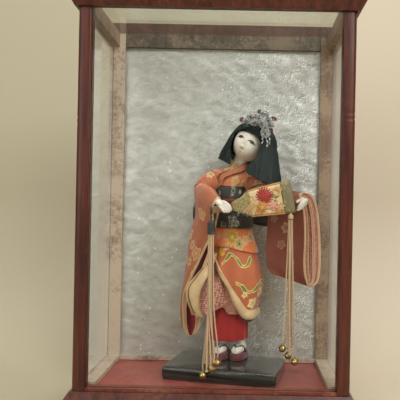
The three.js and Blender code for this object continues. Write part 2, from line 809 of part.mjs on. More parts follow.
function bodiceSolid(grow) {
  const levels = 11;
  const around = 24;
  const [low, high] = [bodiceBottom - grow, neckLevel + grow];
  const rings = Array.from({ length: levels + 1 }, (_, level) => {
    const z = THREE.MathUtils.lerp(low, high, level / levels);
    return Array.from({ length: around }, (_, step) => bodicePoint((2 * Math.PI * step) / around, z, grow));
  });
  return ringLoft(rings);
}

// Collar: two bands from the nape round the neck, crossing on the chest
function collarSolid(grow) {
  const obiTop = waistLevel - obiBelowWaist + obiHeight;
  const rise = neckLevel - obiTop;
  const stations = [
    [0, neckLevel + 1],
    [80, neckLevel],
    [130, obiTop + rise * 0.75],
    [165, obiTop + rise * 0.48],
    [192, obiTop + rise * 0.1],
  ];
  const bands = [1, -1].map((way) => stations.map(([turn, z]) => [90 + way * turn, z]));
  const limbs = bands.map((points) => {
    const path = points.map(([turn, z]) => bodicePoint(THREE.MathUtils.degToRad(turn), z, 1));
    return limb(path, [collarRadius, collarRadius], grow, 8, 9);
  });
  return joined(...limbs);
}

// Head frame: tilted to the right and turned to the left
const headPlace = new THREE.Vector3(neckShift + headShift, figureY - headForward, neckLevel + headRise);
const headMatrix = new THREE.Matrix4().makeRotationFromEuler(
  new THREE.Euler(0, headTilt, headTurn, 'YZX'),
).setPosition(headPlace);

function neckSolid(grow) {
  const foot = new THREE.Vector3(neckShift, figureY, shoulderLevel + 2 * seatGap - grow);
  const middle = new THREE.Vector3(neckShift, figureY - headForward / 3, neckLevel);
  return limb([foot, middle, headPlace.clone()], [neckRadius, neckRadius * 0.9, neckRadius], grow, 14, 6);
}

function skull(grow) {
  const ball = new THREE.SphereGeometry(1, 20, 13);
  ball.scale(headHalfWidth + grow, headHalfDepth + grow, headHalfHeight + grow);
  return ball.applyMatrix4(headMatrix);
}

// Bobbed hair: a dome that widens to its lower edge, level with the head's frame
function hairOuter(grow) {
  const levels = 8;
  const crown = headHalfHeight + hairThickness;
  const rings = Array.from({ length: levels + 1 }, (_, step) => {
    const rise = 1 - step / levels;
    const z = THREE.MathUtils.lerp(-hairFall - grow, crown + grow, Math.sin((Math.PI / 2) * rise));
    const dome = Math.sqrt(Math.max(1 - Math.max(z, 0) ** 2 / (crown + grow) ** 2, 0.0004));
    const low = Math.max(-z / hairFall, 0);
    const widen = hairSpread * low ** 1.4;
    const middle = new THREE.Vector3(hairLean * low, hairThickness / 3, z);
    const halfWidth = (headHalfWidth + hairThickness + grow) * dome + widen;
    const halfDepth = (headHalfDepth + hairThickness * 0.7 + grow) * dome + widen / 4;
    return ovalRing(middle, halfWidth, halfDepth, alongX, alongY, 24);
  });
  return ringLoft(rings).applyMatrix4(headMatrix);
}

// Hollow under the hair for neck and shoulders, and the opening for the face
function hairHollow() {
  const rings = [
    [-hairFall * 2, hairSpread * 1.6], [-hairFall, hairSpread * 0.75], [-headHalfHeight / 4, 0],
  ].map(([z, widen]) => (
    ovalRing(
      new THREE.Vector3(0, 0, z), headHalfWidth + widen, headHalfDepth + widen / 5, alongX, alongY, 24,
    )
  ));
  return ringLoft(rings).applyMatrix4(headMatrix);
}

function faceOpening() {
  const arch = new THREE.Shape();
  arch.moveTo(-faceHalfWidth * 1.3, -hairFall * 2);
  arch.lineTo(faceHalfWidth * 1.3, -hairFall * 2);
  arch.lineTo(faceHalfWidth, hairline / 2);
  arch.quadraticCurveTo(faceHalfWidth * 0.85, hairline, 0, hairline);
  arch.quadraticCurveTo(-faceHalfWidth * 0.85, hairline, -faceHalfWidth, hairline / 2);
  const opening = new THREE.ExtrudeGeometry(
    arch, { depth: 3 * headHalfDepth, bevelEnabled: false, curveSegments: 5 },
  );
  opening.applyMatrix4(new THREE.Matrix4().makeBasis(alongX, alongZ, alongY.clone().negate()));
  return opening.applyMatrix4(headMatrix);
}

// Point on the outside of the hair in the head's frame, seen from its middle
function onHair(turn, off) {
  const way = new THREE.Vector3(Math.sin(turn), -0.5, Math.cos(turn)).normalize();
  const half = [
    headHalfWidth + hairThickness, headHalfDepth + hairThickness * 0.7, headHalfHeight + hairThickness,
  ];
  const reach = 1 / Math.hypot(way.x / half[0], way.y / half[1], way.z / half[2]);
  return way.multiplyScalar(reach + off).add(new THREE.Vector3(0, hairThickness / 3, 0));
}

// Garland over the front of the hair: five-petalled blossoms on stems that stand on a wire
function garland() {
  const turnAt = (share) => THREE.MathUtils.lerp(garlandFrom, garlandTo, share);
  const wire = limb(
    [0, 0.25, 0.5, 0.75, 1].map((share) => onHair(turnAt(share), 0)),
    [combRadius, combRadius],
    0,
    6,
    8,
  );
  const petals = new THREE.Shape();
  const petalPoints = 10;
  for (let point = 0; point < petalPoints; point++) {
    const angle = (2 * Math.PI * point) / petalPoints;
    const radius = blossomRadius * (0.82 + 0.18 * Math.cos(5 * angle));
    petals[point ? 'lineTo' : 'moveTo'](radius * Math.cos(angle), radius * Math.sin(angle));
  }
  const blossoms = Array.from({ length: blossomCount }, (_, step) => {
    const turn = turnAt(step / (blossomCount - 1));
    const place = onHair(turn, blossomStem * (step % 2 ? 1 : 0.6));
    const facing = new THREE.Matrix4().lookAt(
      place.clone().add(new THREE.Vector3(0, -2 * blossomRadius, 0)), new THREE.Vector3(), alongY,
    );
    const blossom = new THREE.ExtrudeGeometry(petals, { depth: blossomDepth, bevelEnabled: false });
    const stem = limb(
      [onHair(turn, 0), place.clone().lerp(onHair(turn, 0), 0.5), place], [combRadius, combRadius], 0, 5, 2,
    );
    return [blossom.applyMatrix4(facing.setPosition(place)), stem];
  });
  return joined(wire, ...blossoms.flat()).applyMatrix4(headMatrix);
}

// Battledore: the frame's X runs along it from handle to blade, its -Y faces out of the case
const bladeMatrix = new THREE.Matrix4().makeRotationFromEuler(
  new THREE.Euler(0, bladePitch, bladeYaw, 'ZYX'),
);
bladeMatrix.setPosition(new THREE.Vector3(bladeReach, -bladeForward, bladeLevel));

function battledoreSolid(grow) {
  const outline = [
    [grow, bladeEndWidth / 2 + grow], [-bladeLength, bladeNeckWidth / 2 + grow],
    [-bladeLength - bladeShoulder - grow, handleWidth / 2 + grow],
    [-bladeLength - handleLength - grow, handleWidth / 2 + grow],
  ];
  const shape = new THREE.Shape([
    ...outline.map(([x, z]) => new THREE.Vector2(x, z)),
    ...outline.reverse().map(([x, z]) => new THREE.Vector2(x, -z)),
  ]);
  const depth = bladeThickness + 2 * grow;
  const board = new THREE.ExtrudeGeometry(shape, { depth, bevelEnabled: false }).translate(0, 0, -depth / 2);
  return board.applyMatrix4(
    new THREE.Matrix4().makeBasis(alongX, alongZ, alongY.clone().negate()),
  ).applyMatrix4(bladeMatrix);
}

const onBlade = (x, z, out) => new THREE.Vector3(x, -out, z).applyMatrix4(bladeMatrix);
const handleTip = onBlade(-bladeLength - handleLength + capNeck, 0, 0);
const rightGrip = onBlade(-bladeLength - bladeShoulder - handleLength * 0.4, 0, handRadius * 0.6);
const leftGrip = onBlade(handRadius + 6 * seatGap, -bladeEndWidth / 4, 0);

// Arms: shoulder, elbow, wrist and hand
const rightShoulder = new THREE.Vector3(
  shoulderShift - shoulderHalfWidth + shoulderInset, figureY, shoulderLevel - shoulderDrop,
);
const rightElbow = new THREE.Vector3(
  rightShoulder.x - elbowOut, figureY - elbowForward, rightShoulder.z - elbowDrop,
);
const rightWrist = rightGrip.clone().add(
  new THREE.Vector3(-handRadius * 2, handRadius * 1.3, handRadius * 1.3),
);
const leftShoulder = new THREE.Vector3(
  shoulderShift + shoulderHalfWidth - shoulderInset, figureY, shoulderLevel - 2 * shoulderDrop,
);
const leftElbow = new THREE.Vector3(
  leftShoulder.x + leftElbowOut, figureY - elbowForward, leftShoulder.z - elbowDrop,
);
const leftWrist = leftGrip.clone().add(new THREE.Vector3(handRadius / 2, handRadius * 2, handRadius / 2));

function armSolid(elbow, wrist, grip, grow) {
  const start = elbow.clone().lerp(wrist, 0.25);
  const tip = grip.clone().lerp(wrist, -0.35);
  return limb(
    [start, wrist, grip, tip], [wristRadius * 1.15, wristRadius, handRadius, fingerRadius], grow, 10, 9,
  );
}

// Sleeve over the arm, and the bore that opens it at the cuff
function sleeveTube(shoulder, elbow, wrist, grow) {
  const cuff = elbow.clone().lerp(wrist, 0.92);
  return limb([shoulder, elbow, cuff], [sleeveShoulderRadius, sleeveElbowRadius, cuffRadius], grow, 12, 6);
}

function sleeveBore(elbow, wrist) {
  const path = [0.1, 0.6, 1.15].map((share) => elbow.clone().lerp(wrist, share));
  const radius = cuffRadius - sleeveWall;
  return limb(path, [radius, radius, radius], 0, 10, 3);
}

// Hanging bag: flat rings from the forearm down, their faces in soft folds
function sleeveBag({ top, foot, run, half, footHalf, thick }) {
  const levels = 9;
  const around = 16;
  const topRound = 0.12;
  const across = new THREE.Vector3(-run.y, run.x, 0);
  const rings = Array.from({ length: levels + 1 }, (_, level) => {
    const share = level / levels;
    const middle = top.clone().lerp(foot, share);
    const fromEnd = Math.max((share - 0.86) / 0.16, (topRound - share) / (topRound + 0.02), 0);
    const tip = Math.sqrt(Math.max(1 - fromEnd ** 2, 0.05));
    const halfWide = THREE.MathUtils.lerp(half, footHalf, share) * (0.55 + 0.45 * tip);
    return Array.from({ length: around }, (_, step) => {
      const turn = (2 * Math.PI * step) / around;
      const wave = 1.2 * Math.sin(3 * Math.cos(turn) + 2.5 * share) * share;
      const place = middle.clone().addScaledVector(run, halfWide * Math.cos(turn));
      return place.addScaledVector(across, thick * tip * Math.sin(turn) + wave);
    });
  });
  return ringLoft(rings);
}

const rightBag = {
  top: rightElbow.clone().lerp(rightWrist, 0.42).add(new THREE.Vector3(-4, 0, 0)),
  foot: rightElbow.clone().lerp(rightWrist, 0.42).add(
    new THREE.Vector3(-rightFootOut, rightFootBack, -rightSleeveDrop),
  ),
  run: rightWrist.clone().sub(rightElbow).setZ(0).normalize(),
  half: rightSleeveHalf,
  footHalf: rightSleeveHalf * 0.92,
  thick: sleeveHalfThick,
};
const leftBag = {
  top: leftElbow.clone().lerp(leftWrist, 0.45).add(new THREE.Vector3(6, 4, 8)),
  foot: leftElbow.clone().lerp(leftWrist, 0.45).add(new THREE.Vector3(5, 2, -leftSleeveDrop)),
  run: new THREE.Vector3(1, -0.3, 0).normalize(),
  half: leftSleeveHalf,
  footHalf: leftSleeveHalf * 0.96,
  thick: sleeveHalfThick,
};

// Open edge of a bag, on the side of the wrist
function bagSlit(bag) {
  const shift = bag.run.clone().multiplyScalar(bag.half * 0.5);
  const rise = new THREE.Vector3(0, 0, sleeveElbowRadius);
  const slit = {
    ...bag,
    top: bag.top.clone().add(shift).sub(rise),
    foot: bag.foot.clone().add(shift).add(rise),
    thick: bag.thick - sleeveWall,
  };
  return sleeveBag(slit);
}

function addFigure() {
  const core = bodyCore(0);
  const bodice = bodiceSolid(0);
  const grown = {
    bodice: bodiceSolid(seatGap), kimono: skirtShell(kimono, kimonoHemAt, { grow: seatGap }),
  };
  grown.inner = skirtShell(innerKimono, innerHemAt, { grow: seatGap });
  grown.neck = neckSolid(seatGap);
  grown.board = battledoreSolid(seatGap);
  piece('body_core', core, bodyStraw, doll);
  piece('bodice', cut(bodice, bodyCore(seatGap), grown.neck, skull(seatGap)), orangeSilk, doll);
  piece('battledore', battledoreSolid(0), paintedBoard, doll);

  const obiTop = waistLevel - obiBelowWaist + obiHeight;
  const onBodice = (z) => z > bodiceBottom;
  const obiInner = (z) => layerGap + (onBodice(z) ? bodiceWidthAt(z) : kimono.outer(z) + coreWidthAt(z));
  const obiInnerDepth = (z) => layerGap + (onBodice(z) ? bodiceDepthAt(z) : kimono.outer(z) + coreDepthAt(z));
  const band = (low, high, from, to, around = 24, levels = 4) => {
    const wall = (grow) => Array.from({ length: levels + 1 }, (_, level) => {
      const z = THREE.MathUtils.lerp(high, low, level / levels);
      return ovalRing(
        new THREE.Vector3(swayAt(z), figureY, z),
        obiInner(z) + grow,
        obiInnerDepth(z) + grow,
        alongX,
        alongY,
        around,
      );
    });
    return wallLoft(wall(to), wall(from));
  };
  const obiBottom = waistLevel - obiBelowWaist;
  piece(
    'obi', cut(band(obiBottom, obiTop, 0, obiThickness), grown.bodice, grown.kimono), darkBrocade, doll,
  );
  const cordLow = obiBottom + 0.62 * obiHeight;
  const cordFrom = obiThickness + seatGap;
  const obiGrown = band(obiBottom - seatGap, obiTop + seatGap, -seatGap, obiThickness + seatGap);
  const cordHigh = cordLow + obiCordHeight;
  const cord = band(cordLow, cordHigh, cordFrom, cordFrom + obiCordThickness, obiCordFacets, 1);
  piece('obi_cord', cut(cord, obiGrown), redSilk, doll);
  const cordGrown = band(
    cordLow - seatGap,
    cordHigh + seatGap,
    obiThickness,
    cordFrom + obiCordThickness + seatGap,
    obiCordFacets,
    1,
  );
  const skullGrown = skull(seatGap);
  piece('collar', cut(collarSolid(0), grown.bodice, grown.neck, obiGrown, skullGrown), goldBrocade, doll);

  const bowY = figureY + obiInnerDepth(waistLevel + obiHeight / 3) + obiThickness + seatGap;
  const bowMiddle = waistLevel + obiHeight / 3;
  const loop = (end) => {
    const stations = [[0.05, 0.55], [0.4, 0.8], [0.8, 1], [0.97, 0.9], [1, 0.7]];
    return ringLoft(stations.map(([share, tall]) => {
      const middle = new THREE.Vector3(
        swayAt(bowMiddle) + end * share * bowHalfWidth, bowY + bowDepth / 2, bowMiddle,
      );
      return ovalRing(middle, (tall * bowHeight) / 2, (tall * bowDepth) / 2, alongZ, alongY, 16);
    }));
  };
  const knot = box(
    2 * bowKnotHalfWidth,
    bowDepth,
    bowHeight * 0.6,
    swayAt(bowMiddle),
    bowY + bowDepth / 2,
    bowMiddle - bowHeight * 0.3,
  );
  piece(
    'obi_bow',
    cut(joined(loop(-1), loop(1), knot), obiGrown, cordGrown, grown.kimono, grown.bodice),
    darkBrocade,
    doll,
  );

  const arms = [
    ['right', rightShoulder, rightElbow, rightWrist, rightGrip, rightBag, orangeSilk],
    ['left', leftShoulder, leftElbow, leftWrist, leftGrip, leftBag, brickSilk],
  ];
  const bulk = [
    grown.bodice,
    obiGrown,
    cordGrown,
    grown.kimono,
    grown.inner,
    grown.board,
    turnedSolid(seatGap),
    collarSolid(seatGap),
  ];
  const sleeves = arms.map(([name, shoulder, elbow, wrist, grip, bag, silk]) => {
    piece(`${name}_arm`, cut(armSolid(elbow, wrist, grip, 0), grown.board), whitePaint, doll);
    const sleeve = joined(sleeveTube(shoulder, elbow, wrist, 0), sleeveBag(bag));
    const shaped = cut(
      sleeve, sleeveBore(elbow, wrist), bagSlit(bag), armSolid(elbow, wrist, grip, seatGap), ...bulk,
    );
    piece(`${name}_sleeve`, shaped, silk, doll);
    return [
      sleeveTube(shoulder, elbow, wrist, seatGap),
      sleeveBag({ ...bag, thick: bag.thick + seatGap, half: bag.half + seatGap }),
    ];
  }).flat();

  piece('head', cut(joined(skull(0), neckSolid(0)), bodyCore(seatGap)), whitePaint, doll);
  const hair = cut(
    hairOuter(0), skullGrown, hairHollow(), faceOpening(), grown.neck, grown.bodice, ...sleeves,
  );
  piece('wig', cut(hair, collarSolid(seatGap)), blackHair, doll);
  piece('hair_ornament', cut(garland(), hairOuter(seatGap), skullGrown), silverFoil, doll);
}

// Feet in split-toed socks on sandals, each with a leg that carries the body
function addFeet() {
  for (const [name, side] of [['left', 1], ['right', -1]]) {
    const place = new THREE.Matrix4().makeRotationZ(footTurn).setPosition(
      footShift + side * footSpread, figureY - footForward, 0,
    );
    const stations = [
      [-0.5, 0.5, 0.5],
      [-0.4, 0.85, 0.66],
      [-0.1, 1, 0.85],
      [0.25, 0.85, 1],
      [0.45, 0.7, 0.9],
      [0.5, 0.4, 0.6],
    ];
    const foot = (grow) => ringLoft(stations.map(([along, wide, tall]) => {
      const halfHeight = (footHeight * tall) / 2;
      const middle = new THREE.Vector3(
        0, along * (footLength + 2 * grow), soleHeight + seatGap + halfHeight,
      );
      return ovalRing(middle, footHalfWidth * wide + grow, halfHeight + grow, alongX, alongZ, 12);
    })).applyMatrix4(place);
    const ankle = new THREE.Vector3(
      0, footLength * ankleBack, soleHeight + footHeight * 0.6,
    ).applyMatrix4(place);
    const hip = new THREE.Vector3(hipShift + side * footSpread * 0.8, figureY, hipLevel);
    const leg = limb(
      [ankle, ankle.clone().lerp(hip, 0.5), hip],
      [ankleRadius, ankleRadius * 1.15, ankleRadius * 1.1],
      0,
      12,
      6,
    );
    piece(`${name}_leg`, cut(joined(foot(0), leg), bodyCore(seatGap)), whitePaint, doll);
    const sole = new THREE.Shape();
    const [halfWide, halfLong] = [footHalfWidth + soleMargin, footLength / 2 + soleMargin];
    const bow = halfLong * 1.3;
    sole.moveTo(halfWide, 0);
    sole.bezierCurveTo(halfWide, bow, -halfWide, bow, -halfWide, 0);
    sole.bezierCurveTo(-halfWide, -bow, halfWide, -bow, halfWide, 0);
    const slab = new THREE.ExtrudeGeometry(
      sole, { depth: soleHeight - seatGap, bevelEnabled: false, curveSegments: 8 },
    );
    const toe = new THREE.Vector3(0, -footLength * 0.36, soleHeight - seatGap);
    const straps = [-1, 1].map((edge) => {
      const heel = new THREE.Vector3(edge * halfWide * 0.86, footLength * 0.02, soleHeight - 2 * seatGap);
      const arch = heel.clone().lerp(toe, 0.55).setZ(soleHeight + footHeight * 0.72);
      return limb([heel, arch, toe], [strapRadius, strapRadius, strapRadius], 0, 8, 6);
    });
    const sandal = joined(slab.translate(0, 0, seatGap), ...straps).applyMatrix4(place);
    piece(`${name}_sandal`, cut(sandal, foot(seatGap), leg), burgundy, doll);
  }
}

// Tassel: strands fanned from a root under its cap, some ending in bells
function addTassel({ name, hinge, head, headName, headSkin, reach, ends }) {
  const headFoot = hinge.z - head.length;
  const strandShape = new THREE.Shape(Array.from({ length: strandSides }, (_, side) => {
    const turn = (2 * Math.PI * side) / strandSides;
    return new THREE.Vector2((strandDiameter / 2) * Math.cos(turn), (strandDiameter / 2) * Math.sin(turn));
  }));
  const profile = head.profile.map(
    ([radius, share]) => new THREE.Vector2(radius, hinge.z - head.length * (1 - share)),
  );
  const skin = new THREE.LatheGeometry(profile, 14).rotateX(Math.PI / 2);
  skin.translate(hinge.x, hinge.y, 0);
  piece(headName, geometryOf(solidOf(skin)), headSkin, doll);
  const rootTop = headFoot - seatGap;
  const rootRadius = head.profile[1][0] * 0.92;
  const root = new THREE.CylinderGeometry(rootRadius, rootRadius, rootThickness, 14).rotateX(Math.PI / 2);
  const strands = ends.map(({ x, y, short, bell }, index) => {
    const spread = 0.62 * rootRadius;
    const turn = (2 * Math.PI * index) / ends.length;
    const from = new THREE.Vector3(
      hinge.x + spread * Math.cos(turn), hinge.y + spread * Math.sin(turn), rootTop - rootThickness / 2,
    );
    const to = new THREE.Vector3(
      hinge.x + x * bellDiameter, hinge.y + y * bellDiameter, headFoot - reach + short,
    );
    const low = bell ? to.clone().setZ(to.z + bellDiameter * 0.62 + seatGap) : to;
    const path = new THREE.CatmullRomCurve3(
      [
        from,
        from.clone().setZ(from.z - reach * 0.08),
        from.clone().lerp(low, 0.55),
        low.clone().setZ(low.z + reach * 0.08),
        low,
      ],
    );
    if (bell) {
      piece(bell, bellSolid(to), brass, doll);
    }
    return new THREE.ExtrudeGeometry(
      strandShape, { steps: strandSteps, extrudePath: path, bevelEnabled: false },
    );
  });
  const rooted = [root.translate(hinge.x, hinge.y, rootTop - rootThickness / 2), ...strands];
  piece(`${name}_strands`, joined(...rooted), cordSilk, doll);
}

// Crotal bell: a ball with a loop stub above and a slit below, its middle at the given place
function bellSolid(place) {
  const radius = bellDiameter / 2;
  const profile = [new THREE.Vector2(0, -radius)];
  const steps = 6;
  for (let step = 1; step < steps; step++) {
    const turn = (Math.PI * step) / steps - Math.PI / 2;
    profile.push(new THREE.Vector2(radius * Math.cos(turn), radius * Math.sin(turn)));
  }
  profile.push(
    new THREE.Vector2(radius * 0.25, radius * 1.02),
    new THREE.Vector2(radius * 0.25, radius * 1.22),
    new THREE.Vector2(0, radius * 1.22),
  );
  const ball = new THREE.LatheGeometry(profile, 10).rotateX(Math.PI / 2);
  const slit = new THREE.BoxGeometry(bellDiameter * 2, bellSlit, radius).translate(0, 0, -radius);
  return cut(ball.translate(place.x, place.y, place.z), slit.translate(place.x, place.y, place.z));
}

function addTassels() {
  const capRadius = capDiameter / 2;
  const capShare = capLength / (capLength + capDrop);
  addTassel({
    name: 'front_tassel',
    hinge: handleTip.clone().setZ(handleTip.z - handleWidth / 2 - 2 * seatGap),
    headName: 'front_tassel_cap',
    headSkin: blackThread,
    head: {
      length: capLength + capDrop,
      profile: [
        [0, 0], [capRadius, 0], [capRadius, 0.7 * capShare], [capRadius * 0.85, 0.92 * capShare],
        [capNeck / 2, capShare], [capNeck / 2, 1], [0, 1],
      ],
    },
    reach: frontStrandReach,
    ends: [
      { x: 1.15, y: -0.15, short: 2 * bellStagger, bell: 'front_bell_1' },
      { x: 0.48, y: 0.46, short: bellStagger, bell: 'front_bell_2' },
      { x: -0.22, y: 0.62, short: 12, bell: null },
      { x: -0.72, y: 0.07, short: 2, bell: 'front_bell_3' },
      { x: -0.2, y: -0.6, short: 9, bell: null },
      { x: 0.3, y: -0.52, short: 13, bell: null },
      { x: 0.75, y: -0.7, short: 19, bell: null },
    ],
  });
  const knotRadius = knotDiameter / 2;
  const underBlade = onBlade(-bladeThickness, -bladeEndWidth / 2, 0);
  addTassel({
    name: 'side_tassel',
    hinge: underBlade.setZ(underBlade.z - 1.5 * seatGap),
    headName: 'side_tassel_knot',
    headSkin: cordSilk,
    head: {
      length: knotLength,
      profile: [
        [0, 0],
        [knotRadius * 0.75, 0],
        [knotRadius, 0.3],
        [knotRadius * 0.9, 0.6],
        [knotRadius * 0.35, 0.85],
        [knotRadius * 0.3, 1],
        [0, 1],
      ],
    },
    reach: sideStrandReach,
    ends: [
      { x: 0.95, y: 0, short: 2, bell: 'side_bell_1' },
      { x: 0.5, y: 0.55, short: 2.2 * bellStagger, bell: null },
      { x: 0.06, y: 0.3, short: bellStagger, bell: 'side_bell_2' },
      { x: -0.75, y: 0, short: 2 * bellStagger, bell: 'side_bell_3' },
      { x: 0.14, y: -0.52, short: 12, bell: null },
    ],
  });
}

addBase();
addPosts();
addSillsAndRails();
addCornice();
addPanes();
addStand();
addSkirts();
addFigure();
addFeet();
addTassels();

export default object;
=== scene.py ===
import math

import bpy
import numpy as np
from mathutils import Matrix, Vector


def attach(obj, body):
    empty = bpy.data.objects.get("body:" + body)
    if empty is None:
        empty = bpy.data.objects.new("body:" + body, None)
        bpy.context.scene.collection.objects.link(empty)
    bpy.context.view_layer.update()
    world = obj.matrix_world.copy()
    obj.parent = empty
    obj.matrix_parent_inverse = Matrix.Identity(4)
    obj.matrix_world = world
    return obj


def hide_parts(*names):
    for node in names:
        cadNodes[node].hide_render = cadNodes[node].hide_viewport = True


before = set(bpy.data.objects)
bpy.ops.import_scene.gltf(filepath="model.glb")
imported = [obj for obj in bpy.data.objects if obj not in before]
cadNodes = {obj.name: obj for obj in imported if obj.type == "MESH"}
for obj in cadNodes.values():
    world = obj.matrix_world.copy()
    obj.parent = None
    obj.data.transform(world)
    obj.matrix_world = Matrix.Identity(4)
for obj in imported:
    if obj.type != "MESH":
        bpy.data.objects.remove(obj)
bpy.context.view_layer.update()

scene = bpy.context.scene
scene.view_settings.view_transform = "Standard"
dollPlace, noMove = (12.0, 0.75, 50.5), (0.0, 0.0, 0.0)  # mm, the figure's own frame in the case
fullTurn = 2 * np.pi
print("frame loaded:", len(cadNodes), "nodes")


# numbers and lines
def ease(x, low, high):  # 0 up to low, 1 from high on, a smooth cubic between
    share = np.clip((x - low) / (high - low), 0, 1)
    return share * share * (3 - 2 * share)


def stationAt(stations, x):  # value eased from one (place, value) station to the next
    places, values = np.array(stations, float).T
    upper = np.clip(np.searchsorted(places, x), 1, len(places) - 1)
    share = ease(x, places[upper - 1], places[upper])
    return values[upper - 1] + (values[upper] - values[upper - 1]) * share


def swell(turn, middle, spread):
    # raised cosine, middle and spread in degrees: 1 in its middle, 0 past its spread
    middle, spread = np.radians([middle, spread])
    off = np.abs(np.arctan2(np.sin(turn - middle), np.cos(turn - middle)))
    return np.where(off < spread, (1 + np.cos(np.pi * np.minimum(off / spread, 1))) / 2, 0)


def hump(x, spread):  # e to the power of minus (x / spread) squared
    return np.exp(-((x / spread) ** 2))


def bent(x, power):  # size raised to a power, its sign kept
    return np.sign(x) * np.abs(x) ** power


def steps(count):  # shares from 0 to 1
    return np.linspace(0, 1, count)


def ring(count):  # turns once round, in even steps
    return np.linspace(0, fullTurn, count, endpoint=False)


def around(count):  # turns once round from a seam at the back
    return np.radians(90 + np.linspace(0, 360, count, endpoint=False))


def farAlong(line):  # length from the line's start to each of its points
    return np.r_[0, np.cumsum(np.linalg.norm(np.diff(line, axis=0), axis=1))]


def evenly(line, count, closed=False):  # the line cut into even steps
    far = farAlong(line)
    want = np.linspace(0, far[-1], count, endpoint=not closed)
    return np.stack([np.interp(want, far, side) for side in line.T], 1)


def through(points, count, even=True):  # smooth cubic line through the points
    p = np.array(points, float)
    ends = np.vstack([2 * p[0] - p[1], p, 2 * p[-1] - p[-2]])
    t = np.linspace(0, len(p) - 1, 16 * count if even else count)
    k = np.minimum(t.astype(int), len(p) - 2)
    s = (t - k)[:, None]
    a, b, c, d = ends[k], ends[k + 1], ends[k + 2], ends[k + 3]
    squares, cubes = 2 * a - 5 * b + 4 * c - d, 3 * b - a - 3 * c + d
    line = 0.5 * (2 * b + (c - a) * s + squares * s**2 + cubes * s**3)
    return evenly(line, count) if even else line


def ripple(a, b, seed, count=6, low=1.0, high=4.0):  # sum of sine waves in seeded directions, about -1 to 1
    dice = np.random.default_rng(seed)
    total = 0
    for _ in range(count):
        turn, phase = dice.uniform(0, fullTurn, 2)
        pitch = dice.uniform(low, high)
        total = total + np.sin(pitch * (a * np.cos(turn) + b * np.sin(turn)) + phase)
    return total / count**0.5 / 1.4


def unit(v):  # each line of numbers divided by its length
    return v / np.maximum(np.linalg.norm(v, axis=-1, keepdims=True), 1e-9)


def spun(y=0.0, z=0.0):  # turn about z, then y, in degrees
    cy, cz = np.cos(np.radians([y, z]))
    sy, sz = np.sin(np.radians([y, z]))
    return np.array([[cy, 0, sy], [0, 1, 0], [-sy, 0, cy]]) @ np.array([[cz, -sz, 0], [sz, cz, 0], [0, 0, 1]])


def facing(ways, rolls):  # turns whose z looks along each way, rolled about it
    z = unit(np.asarray(ways, float))
    x = unit(np.cross(np.broadcast_to([0.03, 0.0, 1.0], z.shape), z))
    y = np.cross(z, x)
    c, s = np.cos(rolls)[:, None], np.sin(rolls)[:, None]
    return np.stack([x * c + y * s, y * c - x * s, z], -1)


# shapes: corners in mm, faces, map and finish number of each face
def clothMap(points, loopU, loopV):  # run lengths along both ways of a grid, 1 to every 100 mm
    full = np.concatenate([points, points[:1]], 0) if loopU else points
    full = np.concatenate([full, full[:, :1]], 1) if loopV else full
    u = np.r_[0, np.cumsum(np.linalg.norm(np.diff(full, axis=0), axis=2).mean(1))]
    v = np.r_[0, np.cumsum(np.linalg.norm(np.diff(full, axis=1), axis=2).mean(0))]
    return np.stack(np.meshgrid(u, v, indexing="ij"), -1) / 100


def gridShape(points, loopU=False, loopV=False, capLow=False, capHigh=False, uv=None, slot=0):
    # points[u, v] joined into four-sided faces; a loop joins last to first, a cap fans a looped row shut
    nu, nv = points.shape[:2]
    uv = clothMap(points, loopU, loopV) if uv is None else uv
    i, j = np.meshgrid(np.arange(nu - 1 + loopU), np.arange(nv - 1 + loopV), indexing="ij")
    steps4 = ((0, 0), (1, 0), (1, 1), (0, 1))
    corners = np.stack([np.stack([i + a, j + b], -1).reshape(-1, 2) for a, b in steps4], 1)
    verts = points.reshape(-1, 3)
    faces = [(corners[..., 0] % nu) * nv + corners[..., 1] % nv]
    maps = [uv[corners[..., 0], corners[..., 1]]]
    for capped, row in ((capLow, 0), (capHigh, nv - 1)):
        if capped:
            edge = np.arange(nu) * nv + row
            after = np.roll(edge, -1)
            pair = (after, edge) if row == 0 else (edge, after)
            faces.append(np.stack([*pair, np.full(nu, len(verts))], 1))
            here = uv[np.arange(nu), row]
            maps.append(np.stack([here, here, np.broadcast_to(here.mean(0), here.shape)], 1))
            verts = np.vstack([verts, verts[edge].mean(0)])
    return {"verts": verts, "faces": faces, "uv": maps, "slot": [np.full(len(f), slot) for f in faces]}


def outward(shape):  # closed shape turned so that its volume counts as positive
    v = shape["verts"] - shape["verts"].mean(0)
    volume = sum(
        np.einsum("ij,ij->", v[f[:, 0]], np.cross(v[f[:, k]], v[f[:, k + 1]]))
        for f in shape["faces"] for k in range(1, f.shape[1] - 1)
    )
    if volume < 0:
        shape["faces"] = [f[:, ::-1] for f in shape["faces"]]
        shape["uv"] = [m[:, ::-1] for m in shape["uv"]]
    return shape


def solid(points, uv=None):  # rings of points in u, shut at both ends of v
    return outward(gridShape(points, True, False, True, True, uv))


def joined(shapes):  # several shapes as one, their corners numbered on
    shapes = list(shapes)
    starts = np.r_[0, np.cumsum([len(s["verts"]) for s in shapes])]
    return {
        "verts": np.vstack([s["verts"] for s in shapes]),
        "faces": [f + n for s, n in zip(shapes, starts) for f in s["faces"]],
        "uv": [m for s in shapes for m in s["uv"]],
        "slot": [x for s in shapes for x in s["slot"]],
    }


def moved(shape, turn=None, place=noMove):  # corners turned about the origin, then shifted
    verts = shape["verts"] if turn is None else shape["verts"] @ np.asarray(turn).T
    return {**shape, "verts": verts + np.asarray(place, float)}


def inSlot(shape, slot):  # the shape with all its faces in one finish
    return {**shape, "slot": [f * 0 + slot for f in shape["slot"]]}


